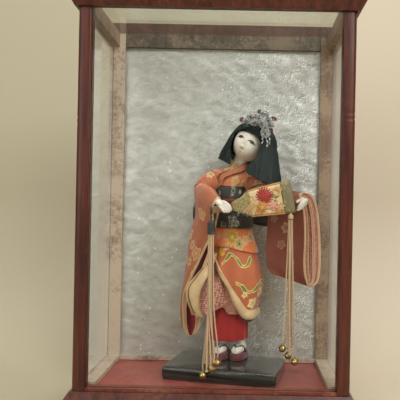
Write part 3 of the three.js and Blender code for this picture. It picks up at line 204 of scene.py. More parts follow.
def copies(shape, turns, places):
    # one small shape set many times, each with its own turn (and size) and place
    turns, places = np.asarray(turns, float), np.asarray(places, float)
    n, each = len(places), len(shape["verts"])
    starts = np.arange(n)[:, None, None] * each
    return {
        "verts": (np.einsum("nij,vj->nvi", turns, shape["verts"]) + places[:, None]).reshape(-1, 3),
        "faces": [(f[None] + starts).reshape(-1, f.shape[1]) for f in shape["faces"]],
        "uv": [np.tile(m, (n, 1, 1)) for m in shape["uv"]],
        "slot": [np.tile(s, n) for s in shape["slot"]],
    }


def oval(halfAcross, halfUp, sides, power=2.0):  # superellipse: cosine and sine raised to 2 / power
    t = ring(sides)
    return bent(np.stack([np.cos(t), np.sin(t)], 1), 2 / power) * [halfAcross, halfUp]


def rounding(count, share, floor):  # size along a run: a quarter circle at each end, 1 between
    t = steps(count)
    near = np.clip(np.minimum(t, 1 - t) / share, 0, 1)
    return np.maximum(np.sqrt(1 - (1 - near) ** 2), floor)


def sweep(path, section, up=(0, 0, 1), size=1.0, ends=None, closed=False, slot=0):
    # section times size along the path: its first number runs across, its second towards up; ends are rounded
    run = unit(np.roll(path, -1, 0) - np.roll(path, 1, 0) if closed else np.gradient(path, axis=0))
    across = unit(np.cross(run, np.broadcast_to(np.asarray(up, float), run.shape)))
    rise = np.cross(across, run)
    size = size * (rounding(len(path), *ends) if ends else np.ones(len(path)))
    section = size[:, None, None] * section
    points = path[:, None] + section[..., :1] * across[:, None] + section[..., 1:] * rise[:, None]
    return outward(gridShape(points.transpose(1, 0, 2), True, closed, not closed, not closed, slot=slot))


def limb(points, radii, flat=1.0, up=(0, 0, 1), sides=20, count=40):  # round-ended tube through points
    size = np.interp(steps(count), steps(len(radii)), radii)
    return sweep(through(points, count), oval(1.0, flat, sides), up, size, (0.12, 0.1))


def turned(profile, sides, ribs=None):  # (radius, height) profile spun round z; ribs adds to the radius
    profile = np.asarray(profile, float)
    t = ring(sides)[:, None]
    radius = profile[None, :, 0] + (0 * t if ribs is None else ribs(t, profile[None, :, 1]))
    high = np.broadcast_to(profile[:, 1], radius.shape)
    return solid(np.stack([radius * np.cos(t), radius * np.sin(t), high], -1))


def meshOf(name, shape, finishes):  # linked smooth mesh: corners in mm over 1000, its map and finishes
    mesh = bpy.data.meshes.new(name)
    faces = [face for group in shape["faces"] for face in group.tolist()]
    mesh.from_pydata((shape["verts"] / 1000).tolist(), [], faces)
    corners = np.concatenate([m.reshape(-1, 2) for m in shape["uv"]]).astype(np.float32)
    mesh.uv_layers.new(name="clothMap").data.foreach_set("uv", corners.ravel())
    mesh.polygons.foreach_set("material_index", np.concatenate(shape["slot"]).astype(np.int32))
    mesh.polygons.foreach_set("use_smooth", np.ones(len(mesh.polygons), bool))
    for finish in finishes if isinstance(finishes, list) else [finishes]:
        mesh.materials.append(finish)
    mesh.update()
    made = bpy.data.objects.new(name, mesh)
    scene.collection.objects.link(made)
    return made


def putPiece(name, shape, finishes, slot, *stands, body="case", place=dollPlace, crisp=None, fill=None):
    # piece that rides on a body and stands for solids; crisp is the angle of sharp edges;
    # fill, the padding's share, is not used
    piece = meshOf(name, moved(shape, place=place), finishes)
    if crisp is not None:
        piece.data.set_sharp_from_angle(angle=math.radians(crisp))
    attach(piece, body)
    if stands:
        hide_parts(*stands)
    return piece


def thicken(piece, millimetres, lining=0, rim=0, even=True):
    # cloth wall, its inside and edge in other finishes
    wall = piece.modifiers.new("wall", "SOLIDIFY")
    wall.thickness, wall.offset = millimetres / 1000, -1.0
    wall.use_even_offset = even
    wall.thickness_clamp = 1.5
    wall.material_offset, wall.material_offset_rim = lining, rim


# finishes: sums of node outputs
class Signal:  # a node's output that does sums as a number does
    def __init__(self, socket):
        self.socket, self.tree = socket, socket.id_data

    def __add__(self, other):
        return sums("ADD", self, other)

    def __sub__(self, other):
        return sums("SUBTRACT", self, other)

    def __rsub__(self, other):
        return sums("SUBTRACT", other, self)

    def __mul__(self, other):
        return sums("MULTIPLY", self, other)

    def __truediv__(self, other):
        return sums("DIVIDE", self, other)

    def __lt__(self, other):
        return sums("LESS_THAN", self, other)

    def __gt__(self, other):
        return sums("GREATER_THAN", self, other)

    def __or__(self, other):  # the larger of the two
        return sums("MAXIMUM", self, other)

    def of(self, how):  # sine, cosine and the like
        return sums(how, self)

    def clamped(self):  # held between 0 and 1
        self.socket.node.use_clamp = True
        return self

    def span(self, fromLow, fromHigh, toLow=0.0, toHigh=1.0, how="LINEAR"):  # one range laid onto another
        values = dict(enumerate((self, fromLow, fromHigh, toLow, toHigh)))
        return node("MapRange", values, interpolation_type=how)[0]


def wire(socket, value):  # a signal is linked, any other value is set
    if isinstance(value, Signal):
        value.tree.links.new(value.socket, socket)
    else:
        socket.default_value = value


def outs(made):  # a node's outputs as signals, by number and by name
    return {key: Signal(socket) for i, socket in enumerate(made.outputs) for key in (i, socket.name)}


def node(kind, inputs, tree=None, **settings):  # new node in its inputs' tree, or in the tree given
    tree = tree or next(value.tree for value in inputs.values() if isinstance(value, Signal))
    made = tree.nodes.new("ShaderNode" + kind)
    for key, value in settings.items():
        setattr(made, key, value)
    for key, value in inputs.items():
        wire(made.inputs[key], value)
    return outs(made)


def sums(how, *values):  # one step of arithmetic on signals and numbers
    return node("Math", dict(enumerate(values)), operation=how)[0]


def tone(colour):  # a colour as a screen shows it, made linear
    c = np.array(colour) / 255
    return (*np.where(c <= 0.04045, c / 12.92, ((c + 0.055) / 1.055) ** 2.4).tolist(), 1.0)


def mix(share, *ends):  # between two colours, each a signal or a screen's red, green and blue
    low, high = [end if isinstance(end, Signal) else tone(end) for end in ends]
    return node("Mix", {0: share, 6: low, 7: high}, data_type="RGBA")[2]


def layered(colour, *layers):  # each (mask, colour) laid over what is below it
    for mask, over in layers:
        colour = mix(mask, colour, over)
    return colour


def noise(place, scale, detail=3.0, rough=0.55, bend=0.0):  # layers of cloudy noise, about 0 to 1
    values = {"Vector": place, "Scale": scale, "Detail": detail, "Roughness": rough, "Distortion": bend}
    return node("TexNoise", values)["Fac"]


def cells(place, scale, random=1.0, flat="2D"):  # cell pattern: distance, colour and middle of each cell
    values = {"Vector": place, "Scale": scale, "Randomness": random}
    cell = node("TexVoronoi", values, voronoi_dimensions=flat)
    return cell, node("SeparateColor", {0: cell["Color"]})


def shifted(place, move=noMove, scale=(1, 1, 1), turn=noMove):  # place scaled, turned, then moved
    return node("Mapping", {"Vector": place, "Location": move, "Scale": scale, "Rotation": turn})[0]


def grown(place, size):  # place times a size
    return node("VectorMath", {0: place, "Scale": size}, operation="SCALE")[0]


def axes(place):  # a place as its three numbers
    return node("SeparateXYZ", {0: place})


def effect(name, make, **inputs):
    # shared node group: None starts a place, a number a value; make gives its outputs
    group = bpy.data.node_groups.new(name, "ShaderNodeTree")
    for label, start in inputs.items():
        kind = "NodeSocketVector" if start is None else "NodeSocketFloat"
        socket = group.interface.new_socket(label, in_out="INPUT", socket_type=kind)
        if start is not None:
            socket.default_value = start
    given = group.nodes.new("NodeGroupInput").outputs
    made = make(*[Signal(given[label]) for label in inputs])
    for label in made:
        group.interface.new_socket(label, in_out="OUTPUT", socket_type="NodeSocketFloat")
    result = group.nodes.new("NodeGroupOutput").inputs
    for label, value in made.items():
        wire(result[label], value)
    return group


def use(group, *values):  # a shared group's outputs for these inputs, in its order
    made = values[0].tree.nodes.new("ShaderNodeGroup")
    made.node_tree = group
    for socket, value in zip(made.inputs, values):
        wire(socket, value)
    return outs(made)


def grainParts(place, size):  # long streaks: noise squeezed across z, with finer pores
    long = shifted(grown(place, size), scale=(1.0, 1.0, 0.07))
    return {"Streak": noise(long, 190.0, 5.0, 0.6, 0.4), "Pore": noise(long, 900.0, 3.0, 0.7)}


def wearParts(place, amount):  # patchy rubbing: coarse noise gates finer noise
    cloud, fine = noise(place, 24.0, 4.0, 0.6), noise(place, 260.0, 6.0, 0.72, 0.6)
    edge = 1.02 - amount
    return {"Mask": (cloud * 0.7 + fine * 0.62).span(edge, edge + 0.16, how="SMOOTHSTEP"), "Cloud": cloud}


def dustParts(place, amount):  # settles where the surface looks up, in uneven patches
    lying = axes(node("NewGeometry", {}, place.tree)["Normal"])[2].span(0.25, 0.95)
    lint = noise(place, 60.0, 6.0, 0.65).span(0.35, 0.75) + noise(place, 900.0, 2.0, 0.5).span(0.6, 0.8)
    return {"Mask": (lying * lint * amount).clamped()}


def weaveParts(place, threads):  # over-and-under threads on the cloth's own map, with a crepe's pebbled crush
    place = grown(place, threads)
    parts = axes(place)
    warp, weft = [(parts[i] * math.pi).of("SINE").of("ABSOLUTE") for i in (0, 1)]
    odd = sums("MODULO", (parts[0].of("FLOOR") + parts[1].of("FLOOR")).of("ABSOLUTE"), 2.0)
    over = warp + (weft - warp) * odd
    slub = noise(shifted(place, scale=(0.05, 1.0, 1.0)), 0.6, 3.0, 0.6)
    return {"Height": over * 0.45 + noise(place, 0.35, 4.0, 0.6) * 0.8, "Slub": slub}


def squiggleParts(place, scale, width):
    # thin wandering lines: where a bent noise comes near its middle value
    off = (noise(place, scale, 2.0, 0.5, 1.6) - 0.5).of("ABSOLUTE")
    return {"Line": off.span(width * 0.5, width, 1.0, 0.0)}


grain = effect("woodGrain", grainParts, Place=None, Size=1.0)
wear = effect("rubbedWear", wearParts, Place=None, Amount=0.4)
dust = effect("settledDust", dustParts, Place=None, Amount=0.5)
weave = effect("crepeWeave", weaveParts, Place=None, Threads=220.0)
squiggle = effect("thinSquiggle", squiggleParts, Place=None, Scale=60.0, Width=0.02)


def placeOn(material, mapped=False):  # a point on the piece: on its cloth's map, or else in its own space
    if mapped:
        return node("UVMap", {}, material.node_tree, uv_map="clothMap")[0]
    return node("TexCoord", {}, material.node_tree)["Object"]


def newFinish(name, mapped=False):  # empty material and the place that its patterns start from
    material = bpy.data.materials.new(name)
    material.use_nodes = True
    material.node_tree.nodes.clear()
    return material, placeOn(material, mapped)


def closeFinish(material, colour, rough, bump=None, more=None, clear=None):
    # bump is height, strength and distance; clear is the share that lets light straight through
    values = {"Base Color": colour, "Roughness": rough, **(more or {})}
    if bump:
        values["Normal"] = node("Bump", dict(zip(("Height", "Strength", "Distance"), bump)))[0]
    shader = node("BsdfPrincipled", values)[0]
    if clear is not None:
        through = node("BsdfTransparent", {}, material.node_tree)[0]
        shader = node("MixShader", {0: clear, 1: shader, 2: through})[0]
    node("OutputMaterial", {0: shader})
    return material


# camera
cameraView = {"place": (0.034, -0.5956, 0.2157), "focal": 47.7, "shift": (-0.12, 0.0375), "roll": 0.02}
cameraData = bpy.data.cameras.new("photoCamera")
camera = bpy.data.objects.new("photoCamera", cameraData)
scene.collection.objects.link(camera)
cameraData.sensor_width, cameraData.lens = 36.0, cameraView["focal"]
cameraData.shift_x, cameraData.shift_y = cameraView["shift"]
cameraData.clip_start, cameraData.clip_end = 0.01, 20.0
camera.matrix_world = (
    Matrix.Translation(cameraView["place"])
    @ Matrix.Rotation(math.pi / 2, 4, "X") @ Matrix.Rotation(cameraView["roll"], 4, "Z")
)
scene.camera = camera
print("camera set")


# tassel cords, caps and bells
def cordFinish():  # twisted silk: colour runs with the ply, painted highlight on its crowns and painted shade between them
    material, place = newFinish("beigeCordSilk", True)
    parts = axes(place)
    ply = (parts[0] * (fullTurn * 60) + parts[1] * 560.0).of("SINE")
    fibre = noise(shifted(place, scale=(8.0, 1.0, 1.0)), 260.0)
    # the ply's paler crowns and darker grooves are painted highlight and painted shade
    colour = layered(
        mix(ply.span(-1.0, 1.0), (150, 110, 76), (224, 192, 152)),
        (fibre.span(0.35, 0.7, 0.0, 0.45), (236, 214, 178)),
        (noise(placeOn(material), 40.0).span(0.4, 0.75, 0.0, 0.4), (168, 128, 92)),
    )
    rough = fibre.span(0.0, 1.0, 0.45, 0.7)
    return closeFinish(material, colour, rough, (fibre, 0.4, 0.0002), {"Sheen Weight": 0.25})


def threadFinish():  # black wound thread
    material, place = newFinish("blackWoundThread")
    fibre = noise(shifted(place, scale=(1.0, 1.0, 6.0)), 700.0)
    colour = mix(fibre.span(0.3, 0.75), (16, 15, 14), (58, 52, 46))
    rough = fibre.span(0.2, 0.8, 0.4, 0.75)
    return closeFinish(material, colour, rough, (fibre, 0.5, 0.0003), {"Sheen Weight": 0.2})


def brassFinish():  # polished brass, darkened in patches
    material, place = newFinish("agedBrass")
    mask = use(wear, place, 0.34)["Mask"]
    colour = mix(noise(place, 320.0, 4.0).span(0.3, 0.75), (206, 184, 116), (164, 138, 76))
    colour = mix(mask, colour, (104, 82, 44))
    rough = mask.span(0.0, 1.0, 0.2, 0.5)
    return closeFinish(material, colour, rough, (noise(place, 900.0), 0.12, 0.0002), {"Metallic": 1.0})


beigeCord, blackThread, agedBrass = cordFinish(), threadFinish(), brassFinish()
frontTassel = {
    "body": "front_tassel", "hinge": (-4.1, -42.0, 219.7), "head": 24.5, "ring": 2.4, "reach": 150.0,
    "fan": (0.3, 0.6),
    "ends": [  # across, back, mm shorter, number of its bell
        (1.15, -0.15, 16, 1), (0.48, 0.46, 8, 2), (-0.22, 0.62, 12, 0), (-0.72, 0.07, 2, 3),
        (-0.2, -0.6, 9, 0), (0.3, -0.52, 13, 0), (0.75, -0.7, 19, 0), (0.05, 0.05, 15, 0),
        (-0.42, -0.25, 17, 0), (0.5, 0.0, 20, 0),
    ],
}
sideTassel = {
    "body": "side_tassel", "hinge": (79.8, -26.5, 219.1), "head": 7.0, "ring": 1.9, "reach": 155.0,
    "fan": (0.7, 0.8),
    "ends": [
        (0.95, 0, 2, 1), (0.5, 0.55, 17.6, 0), (0.06, 0.3, 8, 2),
        (-0.75, 0, 16, 3), (0.14, -0.52, 12, 0), (-0.2, -0.2, 19, 0),
    ],
}
bellSize = {
    "radius": 4.0, "slit": 0.55, "slitDepth": 1.3, "sides": 40, "belt": 0.16, "loop": 0.95, "wire": 0.28,
}
strandSize = {
    "diameter": 1.7, "plies": 3, "twist": 0.62, "stations": 200,  # twist in turns of a ply per mm
    "outer": 7, "innerShare": 0.3, "sunk": 0.9, "spread": 8, "bellTop": 5.26, "dropShare": 0.08,
    "lastDrop": 0.9,
}


def ropeTube(path):  # round section whose radius swells once per ply and turns along the path
    plies, twist = strandSize["plies"], strandSize["twist"]
    t = ring(12)[None]
    turn = fullTurn * twist * farAlong(path)[:, None] / plies * 0.9
    r = strandSize["diameter"] / 2 * (0.93 + 0.07 * np.cos(plies * t - turn))
    return sweep(path, np.stack([r * np.cos(t), r * np.sin(t)], -1), (0, -1, 0.02), ends=(0.004, 0.6))


def bellShape(place):
    # ball whose underside is slit: a spun circle squeezed in below, with a rolled belt and a loop on top
    r, loop = bellSize["radius"], bellSize["loop"]
    v = np.linspace(-np.pi / 2, np.pi / 2, 30)
    profile = np.stack([r * np.cos(v), r * np.sin(v)], 1)
    profile[:, 0] += bellSize["belt"] * hump(profile[:, 1], 0.28)
    profile = np.vstack([profile[:-2], [[0.9, r * 1.0], [0.75, r * 1.08], [0.3, r * 1.12]]])
    ball = turned(profile, bellSize["sides"])
    v = ball["verts"]
    low = ease(-v[:, 2], 0.4, r * 0.7)
    notch = hump(v[:, 1], bellSize["slit"]) * low * ease(np.abs(v[:, 0]), -1, 0.4)
    v[:, 2] += bellSize["slitDepth"] * notch * ease(-v[:, 2], 0.0, r)
    v *= (1 - 0.05 * notch)[:, None]
    t = ring(24)
    line = np.stack([loop * np.cos(t), 0 * t, r * 1.2 + loop * np.sin(t)], 1)
    top = sweep(line, oval(bellSize["wire"], bellSize["wire"], 8), (0, 1, 0), closed=True)
    return moved(joined([ball, top]), place=place)


def endKnot(place):  # small overhand knot: a trefoil line (sin t + 2 sin 2t, cos t - 2 cos 2t, -sin 3t)
    t = ring(48)
    x, y = np.sin(t) + 2 * np.sin(2 * t), np.cos(t) - 2 * np.cos(2 * t)
    line = np.stack([x, y, -1.4 * np.sin(3 * t)], 1) * 0.42
    knot = sweep(line, oval(0.6, 0.6, 8), (0.3, 0.2, 1), closed=True)
    return moved(knot, place=np.add(place, (0, 0, -0.9)))


def makeTassel(name, spec):  # strands from a ring under the head, fanned out to their ends
    hinge, body, silk = np.array(spec["hinge"]), spec["body"], "cord_silk"
    foot = hinge[2] - spec["head"]
    spread, (out, down) = strandSize["spread"], spec["fan"]
    drop = np.array([0, 0, spec["reach"] * strandSize["dropShare"]])
    rides = {"body": body, "place": noMove}
    for index, (x, y, short, bell) in enumerate(spec["ends"]):
        turn = fullTurn * index / len(spec["ends"])
        radius = spec["ring"] * (1 if index < strandSize["outer"] else strandSize["innerShare"])
        start = hinge[:2] + radius * np.array([np.cos(turn), np.sin(turn)])
        start = np.array([*start, foot - strandSize["sunk"]])
        end = np.array([hinge[0] + spread * x, hinge[1] + spread * y, foot - spec["reach"] + short])
        low = end + [0, 0, strandSize["bellTop"] if bell else 0]
        middle = start + (low - start) * [out, out, down]
        spots = [start, start - drop, middle, low + drop * strandSize["lastDrop"], low]
        path = through(spots, strandSize["stations"])
        strand = putPiece(f"{name}_strand_{index + 1}", ropeTube(path), beigeCord, silk, **rides)
        if bell:
            label = f"{name}_bell_{bell}"
            tip = putPiece(f"{label}_ball", bellShape(end), agedBrass, "brass", label, **rides)
        else:
            tip = putPiece(f"{name}_knot_{index + 1}", endKnot(low), beigeCord, silk, **rides)
        if index == 0:
            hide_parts(f"{body}_strands")
        path[0] / 1000
        (path[::5] / 1000).tolist() + [(path[-1] / 1000).tolist()]


def capRibs(t, z):  # wound thread: half rounds stacked every 0.95 mm, creeping round a turn
    return 0.28 * np.abs(np.sin(np.pi * (z / 0.95 + t / fullTurn)))


def knotRibs(t, z):  # crossing windings: half rounds that climb both ways
    return 0.22 * np.abs(np.sin(3 * t + 1.6 * z)) + 0.22 * np.abs(np.sin(3 * t - 1.6 * z))


capProfile = [
    (0.6, -24.9), (3.2, -24.8), (4.0, -24.2), *[(4.05, z) for z in np.linspace(-23.8, -13.2, 64)],
    (3.6, -12.0), (2.6, -10.9), (1.25, -10.3), *[(0.75, z) for z in np.linspace(-10, -5.4, 20)], (0.3, -5.2),
]
knotProfile = [
    (0.3, -7.2), (2.1, -7.0), (2.4, -6.4),
    *[(2.75 - 0.3 * abs(z + 4.6) / 2, z) for z in np.linspace(-6.2, -3.0, 26)], (2.0, -2.3), (1.1, -1.6),
    *[(0.95, z) for z in np.linspace(-1.4, -0.3, 6)], (0.3, -0.1),
]
frontCap = putPiece(
    "frontWoundCap", turned(capProfile, 40, capRibs), blackThread, "black_thread", "front_tassel_cap",
    body="front_tassel", place=frontTassel["hinge"],
)
sideKnot = putPiece(
    "sideWoundKnot", turned(knotProfile, 40, knotRibs), beigeCord, "cord_silk", "side_tassel_knot",
    body="side_tassel", place=sideTassel["hinge"],
)
makeTassel("front", frontTassel)
makeTassel("side", sideTassel)
print("tassels hung")


# case
def lacquerFinish(name, dark, light, worn, age, gloss=0.3):  # lacquer over wood: grain, rubbed patches, dust
    material, place = newFinish(name)
    streak, rubbed, lying = use(grain, place, 1.0), use(wear, place, age), use(dust, place, 0.2)["Mask"]
    colour = layered(
        mix(streak["Streak"].span(0.32, 0.68), dark, light),
        (streak["Pore"].span(0.55, 0.75, 0.0, 0.5), (26, 13, 10)), (rubbed["Mask"], worn),
        (lying, (150, 138, 124)),
    )
    rough = (rubbed["Mask"] + (rubbed["Cloud"] + lying)).span(0.2, 1.8, gloss, 0.72)
    height = streak["Streak"] - rubbed["Mask"] * 0.7
    coat = {"Specular IOR Level": 0.3, "Coat Weight": 0.1, "Coat Roughness": 0.18}
    return closeFinish(material, colour, rough, (height, 0.25, 0.0004), coat)


brownLacquer = lacquerFinish("brownLacquer", (56, 24, 15), (100, 48, 32), (110, 62, 42), 0.28)
midLacquer = lacquerFinish("midLacquer", (106, 84, 66), (138, 114, 92), (158, 136, 112), 0.45, 0.4)
# darker copy of the lacquer, painted shade on the back top rail
shadeLacquer = lacquerFinish("shadeLacquer", (62, 54, 43), (92, 82, 67), (118, 104, 86), 0.4, 0.45)
redLacquer = lacquerFinish("redLacquer", (92, 38, 28), (126, 58, 44), (140, 82, 62), 0.35)
paleLacquer = lacquerFinish("paleLacquer", (128, 104, 88), (164, 140, 120), (190, 172, 150), 0.5, 0.4)
postSize = {
    "wide": 13.5, "backWide": 20.5, "round": 5.0, "chamfer": 1.4, "grooveDepth": 4.0, "low": 36.3,
    "high": 434.0, "outX": 140.0, "outY": 65.59, "paneGroove": (3.6, 6.4), "backGroove": (3.7, 8.6),
    "faceEnd": 9, "middle": 6.75,
}
posts = [  # depth, side, levels of its turned rings, finish
    ("front", "left", (304, 311), brownLacquer), ("front", "right", (314, 320), brownLacquer),
    # the two back posts are one lacquer: the left one in a paler copy as painted light, the right one in a
    # darker copy as painted shade
    ("back", "left", (), paleLacquer), ("back", "right", (), midLacquer),
]


def postSection(grooveV, grooveU, wide):  # outline inward from the two outer planes, its corners rounded
    deep, size = postSize["grooveDepth"], postSize["wide"]
    t = np.linspace(0, np.pi / 2, 9)
    r, c = postSize["round"], postSize["chamfer"]
    sines, cosines = c * (1 - np.sin(t[::2])), c * (1 - np.cos(t[::2]))
    outer = np.stack([r * (1 - np.sin(t)), r * (1 - np.cos(t))], 1)
    left, right = np.stack([cosines, size - sines], 1), np.stack([wide - cosines, sines], 1)
    inside = [
        [grooveU[0], size], [grooveU[0], size - deep], [grooveU[1], size - deep], [grooveU[1], size],
        [wide, size], [wide, grooveV[1]], [wide - deep, grooveV[1]], [wide - deep, grooveV[0]],
        [wide, grooveV[0]],
    ]
    return np.vstack([outer, left, inside, right])


def makePost(depth, side, rings, finish):
    # section carried up; its rounded face narrows at the rings and ripples
    isFront, pane = depth == "front", postSize["paneGroove"]
    section = postSection(
        pane if isFront else postSize["backGroove"], pane, postSize["wide" if isFront else "backWide"],
    )
    z = np.linspace(postSize["low"], postSize["high"], 220)[:, None]
    groove = sum([hump(z - level, 0.9) for level in rings], 0 * z)
    inset = 1 - 0.075 * groove + 0.006 * ripple(z / 20, section[None, :, 0] / 9, 3)
    isFace = (section < postSize["faceEnd"]).all(1)[None]
    flat = postSize["middle"] + (section[None] - postSize["middle"]) * np.where(isFace, inset, 1)[..., None]
    x = (postSize["outX"] - flat[..., 0]) * (-1 if side == "left" else 1)
    y = (postSize["outY"] - flat[..., 1]) * (-1 if isFront else 1)
    shape = solid(np.stack([x, y, np.broadcast_to(z, x.shape)], -1).transpose(1, 0, 2))
    name = f"{depth}{side.title()}LacqueredPost"
    putPiece(name, shape, finish, "lacquer", f"{depth}_{side}_post", place=noMove, crisp=32)


def foilFinish():  # silver paper: soft even crinkle, painted shade low and left, squiggles of painted highlight and painted shade, painted glints
    material, place = newFinish("crinkledSilverPaper")
    flat, parts = shifted(place, scale=(1.0, 0.0, 1.0)), axes(place)
    crease = noise(shifted(flat, scale=(0.6, 1.0, 1.0)), 130.0, 4.0, 0.6, 1.0)
    patch = noise(flat, 13.0, 4.0, 0.6)
    gate = noise(flat, 55.0, 2.0).span(0.38, 0.52) * parts[0].span(-0.05, 0.08, 0.12, 1.0)
    # bright squiggles are painted highlight, the dark ones just beside them painted shade
    highlightLine = use(squiggle, flat, 150.0, 0.045)["Line"] * gate
    shadeLine = use(squiggle, shifted(flat, move=(0.0011, 0.0, -0.0013)), 150.0, 0.045)["Line"] * gate
    # painted glints: bright specks in a few cells
    cell, dice = cells(flat, 190.0, flat="3D")
    glint = cell["Distance"].span(0.1, 0.28, 1.0, 0.0) * (dice[0] > 0.92)
    # painted shade: darker towards the bottom, more so on the left, in soft patches
    low = (parts[2].span(0.06, 0.3, 0.34, 0.0) + patch.span(0.35, 0.7, -0.12, 0.22)).clamped()
    colour = layered(
        # ground lighter on the crinkle's raised parts and darker in its hollows: painted shade
        mix(crease.span(0.3, 0.7), (180, 180, 170), (206, 206, 198)),
        (low * parts[0].span(-0.1, 0.1, 1.0, 0.75), (158, 148, 128)),
        (shadeLine * 0.5, (120, 118, 110)), ((highlightLine | glint) * 0.75, (246, 246, 242)),
    )
    height = crease * 0.7 + (highlightLine - shadeLine) * 0.35
    rough = (patch + crease).span(0.6, 1.4, 0.34, 0.5)
    return closeFinish(material, colour, rough, (height, 0.28, 0.0008), {"Metallic": 0.3})


cardSize = {
    "halfWidth": 123.1, "low": 39.6, "high": 421.7, "front": 57.55, "creases": 26, "depth": 0.34,
    "widest": 34, "seed": 11, "bend": 3.0, "room": (-0.6, 0.35), "thick": 0.3,
}


def makeCard():
    # crumpled sheet: triangle waves in seeded directions summed, so that flat facets meet in creases
    half, widest = cardSize["halfWidth"], cardSize["widest"]
    up = np.linspace(cardSize["low"], cardSize["high"], 300)
    x, z = np.meshgrid(np.linspace(-half, half, 196), up, indexing="ij")
    dice = np.random.default_rng(cardSize["seed"])
    rise = np.zeros_like(x)
    for _ in range(cardSize["creases"]):
        turn, phase = dice.uniform(0, np.pi), dice.uniform(0, 40)
        pitch = dice.uniform(7, widest)
        bend = cardSize["bend"] * ripple(x / 30, z / 30, int(dice.integers(1e6)), 3)
        far = x * np.cos(turn) * 0.6 + z * np.sin(turn) + phase + bend
        rise += (np.abs((far / pitch) % 1 - 0.5) * 4 - 1) * pitch / widest
    rise *= cardSize["depth"] / 1.9
    y = cardSize["front"] + np.clip(rise, *cardSize["room"])
    shape = gridShape(np.stack([x, y, z], -1))
    card = putPiece("crinkledSilverCard", shape, foilFinish(), "silver_paper", "silver_card", place=noMove)
    thicken(card, cardSize["thick"])


def glassFinish(name, bend, film):
    # clear pane: smears roughen it, a dust film shows at a slant, shadows pass
    material, place = newFinish(name)
    smear = noise(shifted(place, scale=(1.0, 1.0, 0.35)), 14.0, 5.0, 0.6, 0.8)
    rough = smear.span(0.45, 0.8, 0.0, 0.012) + noise(place, 700.0, 2.0, 0.4).span(0.72, 0.8, 0.0, 0.1)
    colour = mix(smear.span(0.3, 0.8), (250, 252, 250), (238, 242, 238))
    ray = node("LightPath", {}, material.node_tree)
    values = {"Transmission Weight": 1.0, "IOR": bend, "Sheen Weight": film, "Sheen Roughness": 0.3}
    return closeFinish(material, colour, rough, None, values, ray["Is Shadow Ray"] | ray["Is Diffuse Ray"])


def floorFinish():  # red lacquered board: long scuffs, lint, dust
    material, place = newFinish("scuffedRedFloor")
    rubbed, lying = use(wear, place, 0.34), use(dust, place, 0.26)["Mask"]
    cloud = rubbed["Cloud"]
    scratch = noise(shifted(place, scale=(0.12, 2.4, 1.0), turn=(0, 0, 0.2)), 420.0, 3.0, 0.5, 0.4)
    colour = layered(
        mix(cloud.span(0.3, 0.7), (134, 44, 36), (164, 66, 54)),
        (scratch.span(0.64, 0.72, 0.0, 0.4), (190, 110, 92)), (rubbed["Mask"], (112, 38, 32)),
        (lying, (196, 168, 156)),
    )
    rough = (cloud + lying).span(0.3, 1.2, 0.32, 0.7)
    return closeFinish(material, colour, rough, (cloud + scratch, 0.15, 0.0003))


def boardFinish():  # plain ply for the back
    material, place = newFinish("plainPly")
    streak = use(grain, place, 0.5)
    colour = layered(
        mix(streak["Streak"].span(0.3, 0.7), (150, 112, 72), (190, 152, 106)),
        (streak["Pore"].span(0.55, 0.8, 0.0, 0.4), (112, 78, 46)),
        (use(wear, place, 0.4)["Mask"], (128, 96, 66)),
    )
    rough = streak["Pore"].span(0.2, 0.8, 0.6, 0.8)
    return closeFinish(material, colour, rough, (streak["Streak"], 0.35, 0.0004))


def dress(finish, *names):  # solids that keep their shape get a finish
    for name in names:
        for place in cadNodes[name].material_slots:
            place.material = finish


for post in posts:
    makePost(*post)
makeCard()
dress(redLacquer, "front_sill")
# the back top rail in a darker copy of the lacquer: painted shade
dress(shadeLacquer, "back_top_rail")
dress(midLacquer, "left_top_rail", "right_top_rail")
dress(brownLacquer, "base_plinth", "front_head_rail", "front_inner_rail")
dress(brownLacquer, "cornice_front", "cornice_right", "cornice_back", "cornice_left")
dress(paleLacquer, "left_sill", "right_sill", "back_sill")
dress(glassFinish("thinFrontPane", 1.16, 0.0), "front_pane")
dress(glassFinish("clearSidePane", 1.5, 1.0), "left_pane", "right_pane", "top_pane")
dress(floorFinish(), "floor_panel")
dress(boardFinish(), "back_board")
print("case dressed")


# cloth prints
def petalMasks(dx, dy, radius, petals, turn):  # radius edge swings with the cosine of petals times angle
    angle = sums("ARCTAN2", dy, dx)
    wave = (angle * petals + turn).of("COSINE")
    q = (dx * dx + dy * dy).of("SQRT") / radius / (wave * 0.15 + 0.85)
    petal = q.span(0.92, 1.03, 1.0, 0.0, "SMOOTHSTEP")
    spoke = (angle * (petals * 2.0)).of("COSINE").span(0.35, 0.75)
    return {
        "Petal": petal, "Core": q.span(0.2, 0.3, 1.0, 0.0, "SMOOTHSTEP"),
        "Rim": petal * q.span(0.7, 0.86, how="SMOOTHSTEP"),
        "Ray": spoke * (q.span(0.25, 0.34) * q.span(0.5, 0.62, 1.0, 0.0)),
    }


def blossomParts(place, x, y, radius, petals, turn):  # one printed blossom about a point of the cloth's map
    parts = axes(place)
    return petalMasks(parts[0] - x, parts[1] - y, radius, petals, turn)


def scatterParts(place, scale, share, petals):
    # a blossom in some of a pattern's cells, with its own size and turn
    cell, dice = cells(place, scale, 0.75)
    parts = axes(node("VectorMath", {0: place, 1: cell["Position"]}, operation="SUBTRACT")[0])
    radius = dice[1].span(0.0, 1.0, 0.26, 0.44) / scale
    kept = dice[0] < share
    masks = petalMasks(parts[0], parts[1], radius, petals, dice[2] * 6.28)
    return {label: mask * kept for label, mask in masks.items()}


